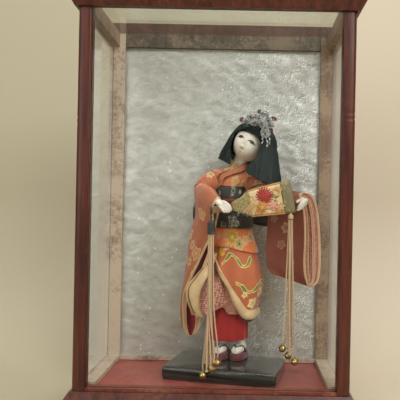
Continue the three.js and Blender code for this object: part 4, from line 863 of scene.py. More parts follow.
def vineParts(place, level, lean, swing, pitch, shift, start, stop):
    # stream about a sine line: a thin outline and leaves that swell along it
    parts = axes(place)
    phase = parts[0] * pitch + shift
    middle = level + parts[0] * lean + phase.of("SINE") * swing
    off = (parts[1] - middle + (noise(place, 60.0) - 0.5) * 0.03).of("ABSOLUTE")
    room = (parts[0] > start) * (parts[0] < stop)
    fat = (phase * 2.3).of("SINE").span(-0.2, 0.9, 0.006, 0.026)
    return {"Line": (off < fat + 0.013) * room, "Leaf": (off < fat) * room}


blossom = effect("printedBlossom", blossomParts, Place=None, X=0.0, Y=0.0, Radius=0.05, Petals=5.0, Turn=0.0)
scatter = effect("scatteredBlossom", scatterParts, Place=None, Scale=6.0, Share=0.5, Petals=5.0)
vine = effect(
    "printedVine", vineParts, Place=None, Level=1.0, Lean=0.0, Swing=0.06, Pitch=18.0, Shift=0.0,
    From=-0.2, To=0.3,
)


def clothBase(name, low, high, threads=220.0):  # crepe ground: slubs and soft fading
    material, place = newFinish(name, True)
    cloth = use(weave, place, threads)
    share = cloth["Slub"] * 0.5 + noise(place, 5.0, 4.0, 0.6) * 0.6
    return material, place, cloth, mix(share.span(0.35, 0.75), low, high)


def closeCloth(material, colour, cloth, rough=0.62, sheen=0.35):  # rougher between the threads than on them
    grit = cloth["Height"].span(0.2, 1.0, rough + 0.08, rough - 0.08)
    values = {"Sheen Weight": sheen, "Sheen Roughness": 0.4, "Specular IOR Level": 0.35}
    return closeFinish(material, colour, grit, (cloth["Height"], 0.35, 0.0003), values)


def plainCloth(name, low, high, threads=220.0, rough=0.62, sheen=0.35, soil=None):
    # one ground, soiled in patches
    material, place, cloth, colour = clothBase(name, low, high, threads)
    if soil:
        colour = mix(noise(place, 14.0, 5.0, 0.65).span(0.5, 0.8, 0.0, 0.5), colour, soil)
    return closeCloth(material, colour, cloth, rough, sheen)


def printedCloth(name, low, high, strewn=(), vines=(), blooms=(), edge=0.5):
    # ground, then strewn blossoms (shift, scale, share, petals, tones), vines and single blooms over it
    material, place, cloth, colour = clothBase(name, low, high)
    for shift, scale, share, petals, petalTone, coreTone, rayTone in strewn:
        made = use(scatter, shifted(place, (shift, shift * 0.7, 0)), scale, share, petals)
        colour = layered(
            colour, (made["Petal"] * 0.92, petalTone), (made["Rim"] * (edge * 0.6), (240, 214, 168)),
            (made["Ray"], rayTone), (made["Core"], coreTone),
        )
    for values in vines:
        made = use(vine, place, *values)
        leaf = mix(noise(place, 90.0, 2.0).span(0.4, 0.6), (76, 112, 44), (140, 150, 74))
        colour = layered(colour, (made["Line"], (236, 208, 130)), (made["Leaf"], leaf))
    for x, y, radius, petals, turn, petalTone, coreTone, rayTone in blooms:
        made = use(blossom, place, x, y, radius, petals, turn)
        colour = layered(
            colour, (made["Petal"], petalTone), (made["Rim"] * edge, (240, 218, 164)),
            (made["Ray"], rayTone), (made["Core"], coreTone),
        )
    return closeCloth(material, colour, cloth, 0.6)


cream, gold, green, rose = (240, 214, 160), (236, 176, 44), (96, 118, 48), (226, 150, 120)
kimonoPrint = printedCloth(
    "orangeKimonoPrint", (184, 96, 58), (204, 118, 78),
    strewn=[(0.0, 3.4, 0.3, 5.0, rose, gold, (190, 80, 50)), (3.7, 2.6, 0.22, 6.0, cream, green, gold)],
    vines=[
        (1.14, -0.02, 0.065, 19.0, 2.1, -0.16, 0.26), (0.84, 0.02, 0.055, 17.0, 1.4, 0.02, 0.44),
        (1.0, 0.05, 0.07, 16.0, 0.6, -0.9, -0.5), (1.08, 0.0, 0.06, 17.0, 0.0, 0.5, 0.9),
    ],
    blooms=[
        (-0.1, 1.29, 0.05, 3.0, 0.5, cream, cream, cream),
        (-0.17, 1.24, 0.055, 2.0, 2.2, gold, gold, (220, 140, 40)),
        (0.27, 0.66, 0.07, 5.0, 0.3, cream, gold, green),
        (0.38, 0.78, 0.065, 5.0, 1.1, (240, 200, 150), green, gold),
        (0.14, 0.76, 0.045, 5.0, 2.0, cream, gold, (206, 150, 90)),
        (0.46, 0.64, 0.05, 5.0, 0.0, rose, gold, cream),
    ],
)
tuckPrint = printedCloth(
    "orangeTuckPrint", (226, 119, 72), (244, 152, 96), strewn=[(1.3, 3.6, 0.35, 5.0, rose, gold, cream)],
    blooms=[
        (-0.01, 1.4, 0.115, 11.0, 0.4, (226, 168, 46), (230, 214, 120), green),
        (-0.1, 1.43, 0.06, 5.0, 1.0, (204, 124, 62), gold, cream),
        (0.09, 1.325, 0.085, 5.0, 0.2, (216, 174, 118), green, green),
        (0.2, 1.37, 0.06, 5.0, 2.0, (220, 176, 130), gold, gold),
        (0.31, 1.4, 0.06, 6.0, 0.6, (206, 172, 116), (190, 110, 66), green),
        (-0.24, 1.41, 0.055, 5.0, 0.3, (206, 140, 118), cream, cream),
        (0.42, 1.37, 0.05, 5.0, 0.0, cream, gold, gold), (-0.4, 1.4, 0.06, 5.0, 0.9, cream, gold, green),
    ],
)
bodicePrint = printedCloth("orangeBodicePrint", (218, 122, 81), (238, 154, 109), [
    (0.4, 5.0, 0.45, 5.0, (226, 192, 132), (214, 170, 84), (204, 130, 72)),
    (2.2, 3.6, 0.3, 6.0, (214, 178, 112), (120, 112, 60), gold),
])
sleevePrint = printedCloth("orangeSleevePrint", (172, 92, 58), (194, 118, 80), [
    (0.0, 4.6, 0.4, 5.0, (212, 156, 112), (222, 176, 110), (190, 116, 78)),
    (5.1, 5.4, 0.25, 6.0, (206, 166, 116), (120, 112, 62), (206, 150, 84)),
])
# darker, browner copy of the orange print for the left sleeve: painted shade
shadedSleevePrint = printedCloth(
    "shadedOrangeSleevePrint", (112, 54, 38), (140, 75, 54), edge=0.2,
    strewn=[(0.0, 3.0, 0.3, 5.0, (142, 82, 58), (128, 72, 48), (150, 96, 68))],
    blooms=[
        (0.24, 1.52, 0.07, 6.0, 0.2, (158, 112, 78), (120, 62, 44), (116, 92, 60)),
        (0.18, 1.33, 0.055, 5.0, 0.9, (146, 94, 66), (160, 112, 76), (122, 88, 56)),
        (0.08, 1.62, 0.05, 5.0, 0.4, (136, 104, 66), (166, 124, 84), (156, 112, 76)),
        (0.3, 1.14, 0.045, 5.0, 0.4, (148, 92, 66), (160, 110, 78), (160, 116, 80)),
    ],
)
redCrepe = plainCloth("redCrepe", (142, 18, 19), (178, 34, 30), 260.0, 0.66)
crimsonLining = plainCloth("crimsonLining", (142, 24, 36), (178, 44, 54), 260.0, 0.5, 0.5)
creamSilk = plainCloth("creamSilk", (204, 172, 126), (230, 202, 156), 240.0, 0.55, 0.4, (180, 138, 94))
tanSilk = plainCloth("tanSilk", (190, 146, 92), (218, 178, 124), 240.0, 0.55, 0.4, (150, 104, 64))
pinkSilk = plainCloth("pinkSilk", (206, 140, 118), (232, 182, 156), 240.0, 0.55, 0.4)
orangeCrepe = plainCloth("orangeCrepe", (176, 100, 66), (202, 130, 90), 240.0, 0.6, 0.4, (214, 160, 112))
darkSilk = plainCloth("darkEdgeSilk", (62, 34, 26), (96, 54, 38), 240.0, 0.6, 0.3)
whiteCotton = plainCloth("whiteCotton", (222, 214, 200), (242, 236, 224), 300.0, 0.75, 0.3, (190, 176, 150))


def dottedFinish(name, low, high, scale, dotLow, dotHigh, eye):
    # raised dots in a loose grid, each with a small eye
    material, place, cloth, colour = clothBase(name, low, high)
    cell, dice = cells(place, scale, 0.45)
    dot = cell["Distance"].span(0.3, 0.44, 1.0, 0.0) * dice[0].span(0.0, 1.0, 0.5, 0.95)
    colour = layered(
        colour, (dot, mix(dice[1], dotLow, dotHigh)), (cell["Distance"].span(0.08, 0.16, 0.8, 0.0), eye),
    )
    bump = (cloth["Height"] * 0.4 + dot * 1.2, 0.5, 0.0006)
    return closeFinish(material, colour, dot.span(0.0, 1.0, 0.7, 0.55), bump, {"Sheen Weight": 0.3})


def obiFinish():  # glossy dark brocade: ribbed ground, silver fern flecks in patches
    material, place = newFinish("darkObiBrocade", True)
    cloth = use(weave, place, 260.0)
    rib = (axes(place)[1] * 900.0).of("SINE")
    patch = noise(shifted(place, (0.31, 0.12, 0)), 7.0, 2.0, 0.5).span(0.58, 0.62)
    front = use(blossom, place, 0.01, 1.565, 0.105, 5.0, 0.6)["Petal"]
    star = use(blossom, place, 0.16, 1.91, 0.03, 6.0, 0.0)["Petal"]
    fleck = use(squiggle, place, 26.0, 0.05)["Line"] * (patch | front) | star
    gilt = noise(shifted(place, (2.0, 1.0, 0)), 30.0, 3.0, 0.7, 1.5).span(0.66, 0.7, 0.0, 0.5)
    colour = layered(
        mix(cloth["Slub"].span(0.35, 0.7), (30, 27, 19), (62, 56, 40)),
        (fleck, mix(cloth["Slub"], (176, 176, 160), (226, 224, 206))), (gilt, (132, 108, 58)),
    )
    height = rib * 0.2 + (cloth["Height"] + fleck)
    values = {"Metallic": fleck * 0.5, "Sheen Weight": 0.1}
    return closeFinish(material, colour, fleck.span(0.0, 1.0, 0.36, 0.3), (height, 0.35, 0.0003), values)


def brocadeFinish(name, low, high, figures, scale, share, shine):
    # metal-thread ground with small woven flowers
    material, place, cloth, colour = clothBase(name, low, high, 240.0)
    mask = None
    for shift, petalTone, coreTone in figures:
        made = use(scatter, shifted(place, (shift, shift, 0)), scale, share, 5.0)
        colour = layered(colour, (made["Petal"], petalTone), (made["Core"] | made["Ray"], coreTone))
        mask = mask | made["Petal"] if mask else made["Petal"]
    stipple = noise(place, 220.0, 2.0, 0.6)
    colour = mix(stipple.span(0.55, 0.7, 0.0, 0.5), colour, (238, 210, 140))
    bump = (cloth["Height"] + mask * 0.8, 0.45, 0.0003)
    values = {"Metallic": stipple.span(0.5, 0.75, 0.0, shine)}
    return closeFinish(material, colour, stipple.span(0.3, 0.7, 0.55, 0.38), bump, values)


dottedSilk = dottedFinish(
    "dottedInnerKimono", (150, 68, 56), (176, 92, 76), 50.0, (226, 180, 154), (234, 206, 176), (164, 76, 60),
)
oliveDots = dottedFinish(
    "oliveDottedSilk", (146, 130, 78), (176, 160, 104), 36.0, (96, 86, 36), (120, 106, 54), (150, 136, 80),
)
obiBrocade = obiFinish()
collarBrocade = brocadeFinish("goldCollarBrocade", (190, 150, 100), (208, 176, 124), [
    (0.0, (228, 200, 152), (192, 104, 62)), (4.4, (192, 100, 62), (226, 186, 110)),
    (2.1, (140, 100, 60), (214, 176, 110)),
], 16.0, 0.55, 0.12)
oliveBrocade = brocadeFinish("oliveBrocade", (98, 90, 62), (126, 115, 82), [
    (0.0, (166, 148, 80), (74, 82, 40)), (3.3, (86, 96, 50), (190, 164, 84)),
], 16.0, 0.5, 0.3)
creamBrocade = brocadeFinish("creamBladeBrocade", (206, 176, 124), (232, 210, 168), [
    (0.0, (214, 166, 110), (172, 92, 54)), (2.9, (240, 222, 186), (190, 130, 74)),
], 11.0, 0.5, 0.2)
print("cloth finishes made")


# figure: shared shapes, stations by height
coreSize = {
    "y": 18.0, "sway": [(22.5, 0.5), (88, 7.8), (152, 5.2), (185, 2.0), (209, 4.5), (223, 9.5)],
    "wide": [(88, 15.0), (152, 14.0), (185, 12.0)], "deep": [(88, 9.0), (152, 9.0), (185, 8.0)],
}
skirtSize = {
    "under": [(22.5, 8.4), (57, 5.7), (88, 6.9), (152, 2.1)], "inner": [(57, 9.6), (88, 12.0), (152, 4.2)],
    "kimono": [(57, 14.4), (88, 18.0), (152, 6.3)],
    "fold": 0.9, "folds": 9, "lobe": 23.0, "lobeTurn": -146, "lobeSpread": 46,
}
bodiceSize = {
    "wide": [(152.3, 20.3), (185, 17.8), (198, 18.3), (209, 28.0), (223, 8.3)],
    "deep": [(152.3, 15.3), (185, 13.8), (209, 13.0), (223, 8.3)], "slope": 5 / 28,
}


def skirtPoint(turn, z, layer, extra=0.0, lobed=1.0):
    # oval round the swaying middle, grown by the layer's reach, soft folds
    # and the front drawn out at the left
    reach = stationAt(skirtSize[layer], z) + extra
    reach = reach + skirtSize["fold"] * np.cos(skirtSize["folds"] * turn) * (1 - ease(z, 88, 152))
    lobe = skirtSize["lobe"] * swell(turn, skirtSize["lobeTurn"], skirtSize["lobeSpread"])
    reach = reach + lobed * lobe * (1 - ease(z, 57, 108))
    x = stationAt(coreSize["sway"], z) + (stationAt(coreSize["wide"], z) + reach) * np.cos(turn)
    y = coreSize["y"] + (stationAt(coreSize["deep"], z) + reach) * np.sin(turn)
    return np.stack([x, y, z + 0 * turn], -1)


def bodicePoint(turn, z, extra=0.0):  # oval round the swaying middle, its shoulders sloping
    across = (stationAt(bodiceSize["wide"], z) + extra) * np.cos(turn)
    y = coreSize["y"] + (stationAt(bodiceSize["deep"], z) + extra) * np.sin(turn)
    slope = bodiceSize["slope"] * ease(z, 197, 209) * (1 - ease(z, 209, 223))
    return np.stack([stationAt(coreSize["sway"], z) + across, y + 0 * z, z - slope * across], -1)


def heightMap(count, z):  # arc from the front's middle along an oval of 33 by 27 mm, and height; 1 to 100 mm
    t = np.radians(90 + np.linspace(0, 360, count + 1))
    step = np.hypot(33 * np.sin(t), 27 * np.cos(t))
    far = np.r_[0, np.cumsum((step[1:] + step[:-1]) / 2 * np.diff(t))]
    u = np.broadcast_to((far - far[count // 2])[:, None], (count + 1, z.shape[1]))
    return np.stack([u, np.concatenate([z, z[:1]], 0)], -1) / 100


def hang(name, points, finishes, slot, stands, wall, loop=False, uv=None):
    # cloth from a grid, lined and edged in its last finishes; flat size from its longest runs both ways
    piece = putPiece(name, gridShape(points, loop, uv=uv), finishes, slot, *stands)
    thicken(piece, wall, max(len(finishes) - 2, 0), len(finishes) - 1)
    full = np.concatenate([points, points[:1]], 0) if loop else points
    across, along = np.diff(full, axis=0), np.diff(full, axis=1)
    area = np.linalg.norm(np.cross(across[:, :-1], along[:-1]), axis=2).sum()
    flat = np.linalg.norm(across, axis=2).sum(0).max(), np.linalg.norm(along, axis=2).sum(1).max()
    area = min(area, flat[0] * flat[1])
    print(f"sheet {name}: {flat[0]:.0f} x {flat[1]:.0f} mm, {area / 100:.0f} cm2")


def girdle(pointAt, section, low, high, count=200):
    # closed section of (reach, share of the height) carried once round the figure
    turn = around(count)[:, None]
    reach, share = np.array(section, float).T[:, None]
    z = low(turn) + (high(turn) - low(turn)) * share
    uv = heightMap(count, np.concatenate([z, z[:, :1]], 1))
    return outward(gridShape(pointAt(turn, z, reach), True, True, uv=uv))


# stand, feet and sandals
def blackFinish():  # polished black with a film of dust and fine swirls
    material, place = newFinish("polishedBlack")
    lying, rubbed = use(dust, place, 0.3)["Mask"], use(wear, place, 0.3)
    colour = mix(rubbed["Cloud"].span(0.3, 0.7), (20, 23, 20), (38, 41, 36))
    colour = mix(lying, colour, (118, 112, 100))
    rough = (lying + rubbed["Mask"] * 0.3).span(0.0, 0.9, 0.12, 0.6)
    coat = {"Coat Weight": 0.6, "Coat Roughness": 0.06}
    return closeFinish(material, colour, rough, (rubbed["Cloud"], 0.05, 0.0003), coat)


standSize = {
    "half": (63.0, 36.0), "corner": 3.2, "low": -14.8, "turn": -11.5,
    "profile": [  # inset, height
        (2.2, 0.0), (1.6, 0.25), (1.4, 0.9), (1.4, 2.4), (0.9, 2.8), (0.4, 3.2), (0.1, 4.0), (0.0, 5.0),
        (0.0, 10.8), (0.12, 11.9), (0.5, 13.0), (1.1, 13.8), (2.0, 14.3), (3.2, 14.5),
    ],
}


def standShape(least=0.2):
    # rectangle with circular corners, drawn in by the profile's inset at each of its heights
    half, corner = standSize["half"], standSize["corner"]
    inset, z = np.array(standSize["profile"], float).T
    t = np.linspace(0, np.pi / 2, 12)
    rows = []
    for k, signs in enumerate(((1, 1), (-1, 1), (-1, -1), (1, -1))):
        arc = np.stack([np.cos(t + k * np.pi / 2), np.sin(t + k * np.pi / 2)], 1)
        middle = np.array(signs) * (np.array(half) - corner)
        inward = np.sign(middle) * np.maximum(inset - corner + least, 0)[None, :, None]
        bend = np.maximum(corner - inset, least)[None, :, None]
        rows.append(middle[None, None] - inward + arc[:, None] * bend)
    flat = np.concatenate(rows, 0)
    return solid(np.concatenate([flat, np.broadcast_to(z[None, :, None], (*flat.shape[:2], 1))], 2))


stand = moved(standShape(), spun(z=standSize["turn"]), (0, 0, standSize["low"]))
putPiece("polishedStand", stand, blackFinish(), "black_lacquer", "stand", crisp=40)


def sandalFinish():  # burgundy cloth sides in stacked layers, woven top
    material, place = newFinish("burgundySandal")
    layer = (axes(place)[2] * 4200.0).of("SINE")
    cloth = noise(place, 900.0, 3.0, 0.6)
    colour = mix(cloth.span(0.3, 0.7), (84, 26, 34), (120, 44, 52))
    colour = mix(layer.span(0.8, 1.0, 0.0, 0.6), colour, (52, 16, 22))
    rough = cloth.span(0.2, 0.8, 0.5, 0.7)
    return closeFinish(material, colour, rough, (cloth + layer, 0.3, 0.0003), {"Sheen Weight": 0.3})


burgundySandal = sandalFinish()
footSize = {
    "middle": (5.0, 15.0), "apart": 9.8, "turn": -20.0, "length": 27.0, "half": 6.6, "high": 9.6,
    "sole": 8.0, "soleHalf": (8.6, 15.1), "soleBow": 30, "toe": (0, -9.7, 8.2), "arch": 15.9,
    "stations": [  # shares of length, half width and height
        (-0.52, 0.3, 0.36), (-0.5, 0.55, 0.5), (-0.4, 0.85, 0.66), (-0.1, 1.0, 0.85),
        (0.25, 0.85, 1.0), (0.45, 0.7, 0.9), (0.51, 0.4, 0.6),
    ],
    "soleEdge": [  # inset, height
        (1.3, 0.3), (0.5, 0.4), (0.1, 0.9), (0.0, 1.6), (0.0, 6.2), (0.12, 6.9), (0.5, 7.55), (1.3, 7.95),
        (2.2, 8.0),
    ],
    "ankle": [(0, 5.4, 10.5), (0, 6.0, 15.5), (0, 6.0, 22), (-0.5, 5.5, 42)],
    "ankleRadius": [(0, 5.2), (0.12, 5.2), (0.3, 4.6), (0.6, 4.3), (1, 4.8)],
}


def soleShape():  # superellipse outline, its edge rolled in at the top and bottom, its waist drawn in
    t = ring(72)[:, None]
    inset, z = np.array(footSize["soleEdge"]).T
    x = bent(np.cos(t), 2 / 2.5) * (footSize["soleHalf"][0] - inset)
    y = bent(np.sin(t), 2 / 2.5) * (footSize["soleHalf"][1] - inset)
    x = x * (1 - 0.05 * np.cos(fullTurn * (y / footSize["soleBow"])))
    return solid(np.stack([x, y, z + 0 * x], -1))


def footShape(side):
    # split-toed sock: sections along the foot, a cleft beside the great toe, then the ankle's tube
    stations = np.array(footSize["stations"]).T
    y, w, h = [np.interp(steps(44), steps(len(line)), line) for line in stations]
    y, w, h = y * footSize["length"], w * footSize["half"], h * footSize["high"]
    t = ring(48)[:, None]
    x = bent(np.cos(t), 0.85) * w
    z = footSize["sole"] + 0.3 + h * np.clip(0.42 + 0.58 * np.sin(t), 0, 1)
    cleft = hump(x + side * 1.5, 0.6) * ease(-y, 4.0, 11.5)
    z = z - 2.2 * cleft * (z > footSize["sole"] + 1)
    foot = solid(np.stack([x, np.broadcast_to(y, x.shape), z], -1))
    size = np.interp(steps(24), *np.array(footSize["ankleRadius"]).T)
    return joined([foot, sweep(through(footSize["ankle"], 24), oval(0.95, 1.05, 32), (0, -1, 0), size)])


def strapShape():  # two rolls from the sides over the arch, meeting between the toes
    toe, halves = np.array(footSize["toe"]), []
    for side in (-1, 1):
        path = through([
            (side * 7.5, 2.6, 7.0), (side * 6.8, 0.7, 11.0), (side * 4.7, -2.4, footSize["arch"] - 0.7),
            (side * 1.6, -6.8, 14.9), toe + [0, 0.3, 5.2], toe + [0, 0, 1.2],
        ], 40)
        halves.append(sweep(path, oval(1.25, 0.95, 14), (0, -0.4, 1), ends=(0.03, 0.5)))
    return joined(halves)


for label, side in (("left", 1), ("right", -1)):
    turn = spun(z=footSize["turn"])
    place = (footSize["middle"][0] + side * footSize["apart"], footSize["middle"][1], 0)
    putPiece(f"{label}Sock", moved(footShape(side), turn, place), whiteCotton, "white_paint", f"{label}_leg")
    putPiece(f"{label}Sole", moved(soleShape(), turn, place), burgundySandal, "burgundy", f"{label}_sandal")
    putPiece(f"{label}Strap", moved(strapShape(), turn, place), darkSilk, "straw")
print("feet shod")

# skirts
skirtTop = {"under": 78, "robe": 150}
turn, share = around(192)[:, None], steps(44)[None]
hem = 22.5 + 0.5 * ripple(3 * np.cos(turn), 3 * np.sin(turn), 5)
z = hem + (skirtTop["under"] - hem) * share
pleat = (0.45 * np.cos(11 * turn + 1.2 * np.sin(3 * turn)) - 0.4) * (1 - ease(z, 34, 72))
points = skirtPoint(turn, z, "under", pleat, 0.0)
hang(
    "redUnderskirt", points, [redCrepe], "red_silk", ["underskirt"], 0.9,
    True, heightMap(192, z),
)

hem = 53 + 7 * swell(turn, -112, 18) + 0.7 * ripple(2 * np.cos(turn), 2 * np.sin(turn), 8)
z = hem + (skirtTop["robe"] - hem) * share**1.25
lobes = 5.0 * swell(turn, -140, 38) + 3.0 * swell(turn, -84, 20)
valley = 4.2 * hump(turn - np.radians(248), 0.1) * (1 - ease(z, 82, 106))
puffed = 1.6 * hump(z - hem - 6, 7) + lobes * hump(z - 70, 17) - valley
hang(
    "dottedInnerKimono", skirtPoint(turn, z, "inner", puffed), [dottedSilk, redCrepe, creamSilk], "pink_silk",
    ["inner_kimono"], 2.0, True, heightMap(192, z),
)


def kimonoHem(turn):  # level round the hips, drawn up at the left
    return 58.5 + 62.5 * swell(turn, -160, 115)


z = kimonoHem(turn) + (skirtTop["robe"] - kimonoHem(turn)) * share
crease = 0.7 * ripple(5 * turn, z / 26, 21, 6, 0.6, 1.6) * (1 - ease(z, 120, 150))
hang(
    "printedKimonoSkirt", skirtPoint(turn, z, "kimono", crease), [kimonoPrint, crimsonLining, creamSilk],
    "orange_silk", ["kimono_skirt"], 1.6, True, heightMap(192, z),
)
tuckSection = [
    (0.5, 1.0), (0.5, 0.7), (0.5, 0.4), (0.5, 0.16), (0.8, 0.05), (1.5, 0.0), (2.4, 0.03), (3.0, 0.12),
    (3.1, 0.22), (2.7, 0.36), (2.3, 0.52), (2.0, 0.7), (1.7, 0.86), (1.3, 1.0),
]
tuck = girdle(
    lambda t, z, extra: skirtPoint(t, z, "kimono", extra * (1 + 0.22 * np.sin(5 * t) * np.sin(3 * t))),
    tuckSection, lambda t: 126.2 - 4.6 * np.cos(t) + 0.6 * np.sin(3 * t + 0.6), lambda t: 150.4 + 0 * t,
)
putPiece("printedTuck", tuck, tuckPrint, "orange_silk", fill=0.25)
hemSize = {
    "from": -141.0, "to": 84.0, "count": 160, "hips": (8, 18, 0),
    "radius": [(0, 1.9), (0.18, 2.5), (0.27, 4.6), (0.42, 5.8), (0.6, 4.6), (1, 2.8)],
}


def hemPath(reach, drop):  # line along the kimono's hem, grown by a reach and let down by a drop
    t = np.radians(np.linspace(hemSize["from"], hemSize["to"], hemSize["count"]))
    return skirtPoint(t, kimonoHem(t), "kimono", reach) - np.stack([0 * t, 0 * t, drop + 0 * t], 1)


size = stationAt(hemSize["radius"], steps(hemSize["count"])) * rounding(hemSize["count"], 0.02, 0.25)
roll = hemPath(-0.4, 0.3 + 0.93 * size)
out = unit((roll - hemSize["hips"]) * [1, 1, 0])
# thin dark roll tucked under the padded hem: painted shadow below it
hemShadowRoll = roll - [0, 0, 1] * size[:, None] * 1.02 - out * 1.3
hems = [
    sweep(roll, oval(1.0, 0.82, 22), out, size),
    sweep(hemPath(0.3, 0.3) + out * 0.5, oval(1.0, 1.0, 12), out, 0.75, (0.02, 0.3), slot=1),
    sweep(hemShadowRoll, oval(1.0, 1.0, 12), out, 0.42 * size, slot=2),
]
# the third finish, the dark silk, is the painted shadow roll
putPiece("paddedCreamHem", joined(hems), [creamSilk, tanSilk, darkSilk], "cream_silk", "padded_hem", fill=0.8)


def pairedSheet(lows, highs, across, along, bulge, seed, wave):
    # each row runs from the fold's line to the open edge's, bowed out by half a sine along the rows' normal
    folded, opened = through(lows, along, False), through(highs, along, False)
    u = steps(across)[:, None, None]
    points = folded[None] * (1 - u) + opened[None] * u
    normal = unit(np.cross(np.gradient(points, axis=0), np.gradient(points, axis=1)))
    rows = steps(along)[None, :, None]
    bow = bulge * np.sin(np.pi * u) * np.sin(np.pi * rows) ** 0.5
    ripples = ripple(4 * u[..., 0], 14 * rows[..., 0], seed)[..., None]
    return points + normal * (bow + wave * ripples * np.sin(np.pi * u) ** 0.4)


frontSize = {
    "inner": [
        (-12, 1, 121), (-16, -9, 109), (-21.5, -15.5, 97),
        (-29, -18.4, 80), (-29, -16.5, 63), (-25, -13.5, 52),
    ],
    "outer": [
        (-15, 1.4, 122), (-24.5, -6, 108), (-35, -11, 95.5),
        (-44, -13.5, 83.5), (-41, -13, 66), (-33, -11, 51),
    ],
    "edges": [(-1, 1.0, 0), (-6, 0.45, 1), (0, 0.7, 0)],  # row of the sheet, radius, finish
}
flap = pairedSheet(frontSize["inner"], frontSize["outer"], 24, 70, 2.6, 4, 0.25)
hang(
    "creamTurnedFront", flap, [creamSilk, crimsonLining, tanSilk], "cream_silk", ["turned_front"], 1.4,
)
rolls = [
    sweep(
        through(flap[row, ::5], 70) + [0, -0.5, 0], oval(1.0, 0.8, 12), (0, -1, 0.2), radius,
        (0.04, 0.4), slot=slot,
    )
    for row, radius, slot in frontSize["edges"]
]
putPiece("turnedFrontPiping", joined(rolls), [tanSilk, darkSilk], "cream_silk")
print("skirts hung")


# obi
def obiPoint(turn, z, extra):  # oval over the bodice's lower half
    x = stationAt(coreSize["sway"], z) + (stationAt(bodiceSize["wide"][:3], z) + 0.6 + extra) * np.cos(turn)
    y = coreSize["y"] + (stationAt(bodiceSize["deep"][:2], z) + 0.6 + extra) * np.sin(turn)
    return np.stack([x, y, z + 0 * turn], -1)


obiSection = [
    (0, 0.02), (0, 0.5), (0, 0.98), (0.5, 1.0), (1.6, 1.0), (2.4, 0.975), (2.8, 0.9), (2.9, 0.75),
    (2.8, 0.56), (2.6, 0.515), (2.1, 0.5), (2.1, 0.48), (2.3, 0.42), (2.5, 0.25), (2.4, 0.08),
    (1.9, 0.01), (0.8, 0.0),
]
obi = girdle(
    obiPoint, obiSection, lambda t: 150.2 + 0.5 * np.sin(2 * t), lambda t: 198 + 0.9 * np.sin(2 * t + 1),
)
putPiece("darkObi", obi, obiBrocade, "dark_brocade", "obi", fill=0.7)
cordSize = {"z": 181.4, "halfHigh": 2.0, "halfDeep": 1.1, "crossings": 38, "reach": 3.9}
t, a = around(480), ring(20)[None]
path = obiPoint(t, cordSize["z"] + 0.6 * np.sin(t * 2 + 2.4), cordSize["reach"])
crossing = cordSize["crossings"] * t[:, None]
braid = 1 + 0.13 * np.sin(crossing + 3 * a) * np.sin(crossing - 3 * a)
section = np.stack([cordSize["halfDeep"] * np.cos(a) * braid, cordSize["halfHigh"] * np.sin(a) * braid], -1)
braidSilk = plainCloth("redBrownBraid", (112, 44, 34), (150, 74, 56), 400.0, 0.55)
putPiece("braidedObiCord", sweep(path, section, closed=True), braidSilk, "red_silk", "obi_cord")
bowSize = {
    "half": 48.0, "halfHigh": 15.0, "halfDeep": 4.4, "middle": (4.2, 40.4, 168.0), "knot": (4.6, 9.0),
    "knotHalf": 8.5, "share": [(0, 0.4), (0.1, 0.6), (0.4, 0.82), (0.8, 1.0), (0.96, 0.9), (1, 0.55)],
}


def bowLoop(side):  # puffed loop: oval sections widening from the knot, with pleats that fade outwards
    s = steps(60)
    path = np.stack([side * (3 + (bowSize["half"] - 3) * s), 1.5 * s**2, -1.5 * s], 1)
    a = ring(56)[None]
    size = stationAt(bowSize["share"], s)[:, None]
    pleat = 1 + 0.08 * np.cos(9 * a) * (1 - s[:, None]) + 0.02 * np.cos(5 * a + 6 * s[:, None])
    high = bowSize["halfHigh"] * size * np.sin(a) * pleat
    deep = bowSize["halfDeep"] * (0.55 + 0.45 * size) * bent(np.cos(a), 0.75) * pleat
    return sweep(path, np.stack([deep, high], -1))


s = steps(30)
knotPath = np.stack([np.linspace(-bowSize["knotHalf"], bowSize["knotHalf"], 30), 0 * s, 0 * s], 1)
pinch = 0.9 + 0.1 * np.cos(6 * np.pi * s)
knot = sweep(knotPath, oval(*bowSize["knot"], 40, 2.6), size=pinch, ends=(0.25, 0.5))
bow = moved(joined([bowLoop(-1), bowLoop(1), knot]), place=bowSize["middle"])
putPiece("obiBowLoops", bow, obiBrocade, "dark_brocade", "obi_bow", fill=0.6)

# bodice and collars
bodiceLevels = (188, 224)
turn = around(160)[:, None]
z = np.broadcast_to(np.linspace(*bodiceLevels, 40)[None], (160, 40))
fold = 0.5 * ripple(4 * turn, z / 9, 14, 6, 0.7, 1.5)
hang(
    "printedBodice", bodicePoint(turn, z, fold), [bodicePrint], "orange_silk", ["bodice", "body_core"], 0.9,
    True, heightMap(160, z),
)
collarLines = {  # turn from the nape and height of each band's middle
    "underLeft": [(0, 230), (70, 228.5), (113, 223.5), (143, 219.5), (160, 215.5), (178, 211)],
    "underRight": [
        (0, 230), (70, 229.5), (110, 228.6), (141, 227), (165, 224), (182, 220.5), (200, 215.5), (208, 213),
    ],
    "over": [
        (0, 226), (70, 225), (110, 223), (141, 220.5), (165, 217.5), (182, 214), (200, 208.3), (226, 198),
    ],
}
collarBands = [  # line, side, reach, lift, half width, half thickness, finish
    ("underLeft", 1, 1.4, 0.0, 4.4, 0.9, 0), ("underRight", -1, 1.9, 0.0, 3.4, 0.9, 0),
    ("underLeft", 1, 0.5, 4.2, 1.8, 0.8, 1), ("underRight", -1, 0.8, 3.2, 1.8, 0.8, 1),
    ("over", -1, 2.6, 0.0, 3.6, 0.9, 2), ("over", -1, 3.1, 3.3, 0.45, 0.5, 3),
    ("over", -1, 3.2, -3.4, 0.4, 0.45, 3),
]


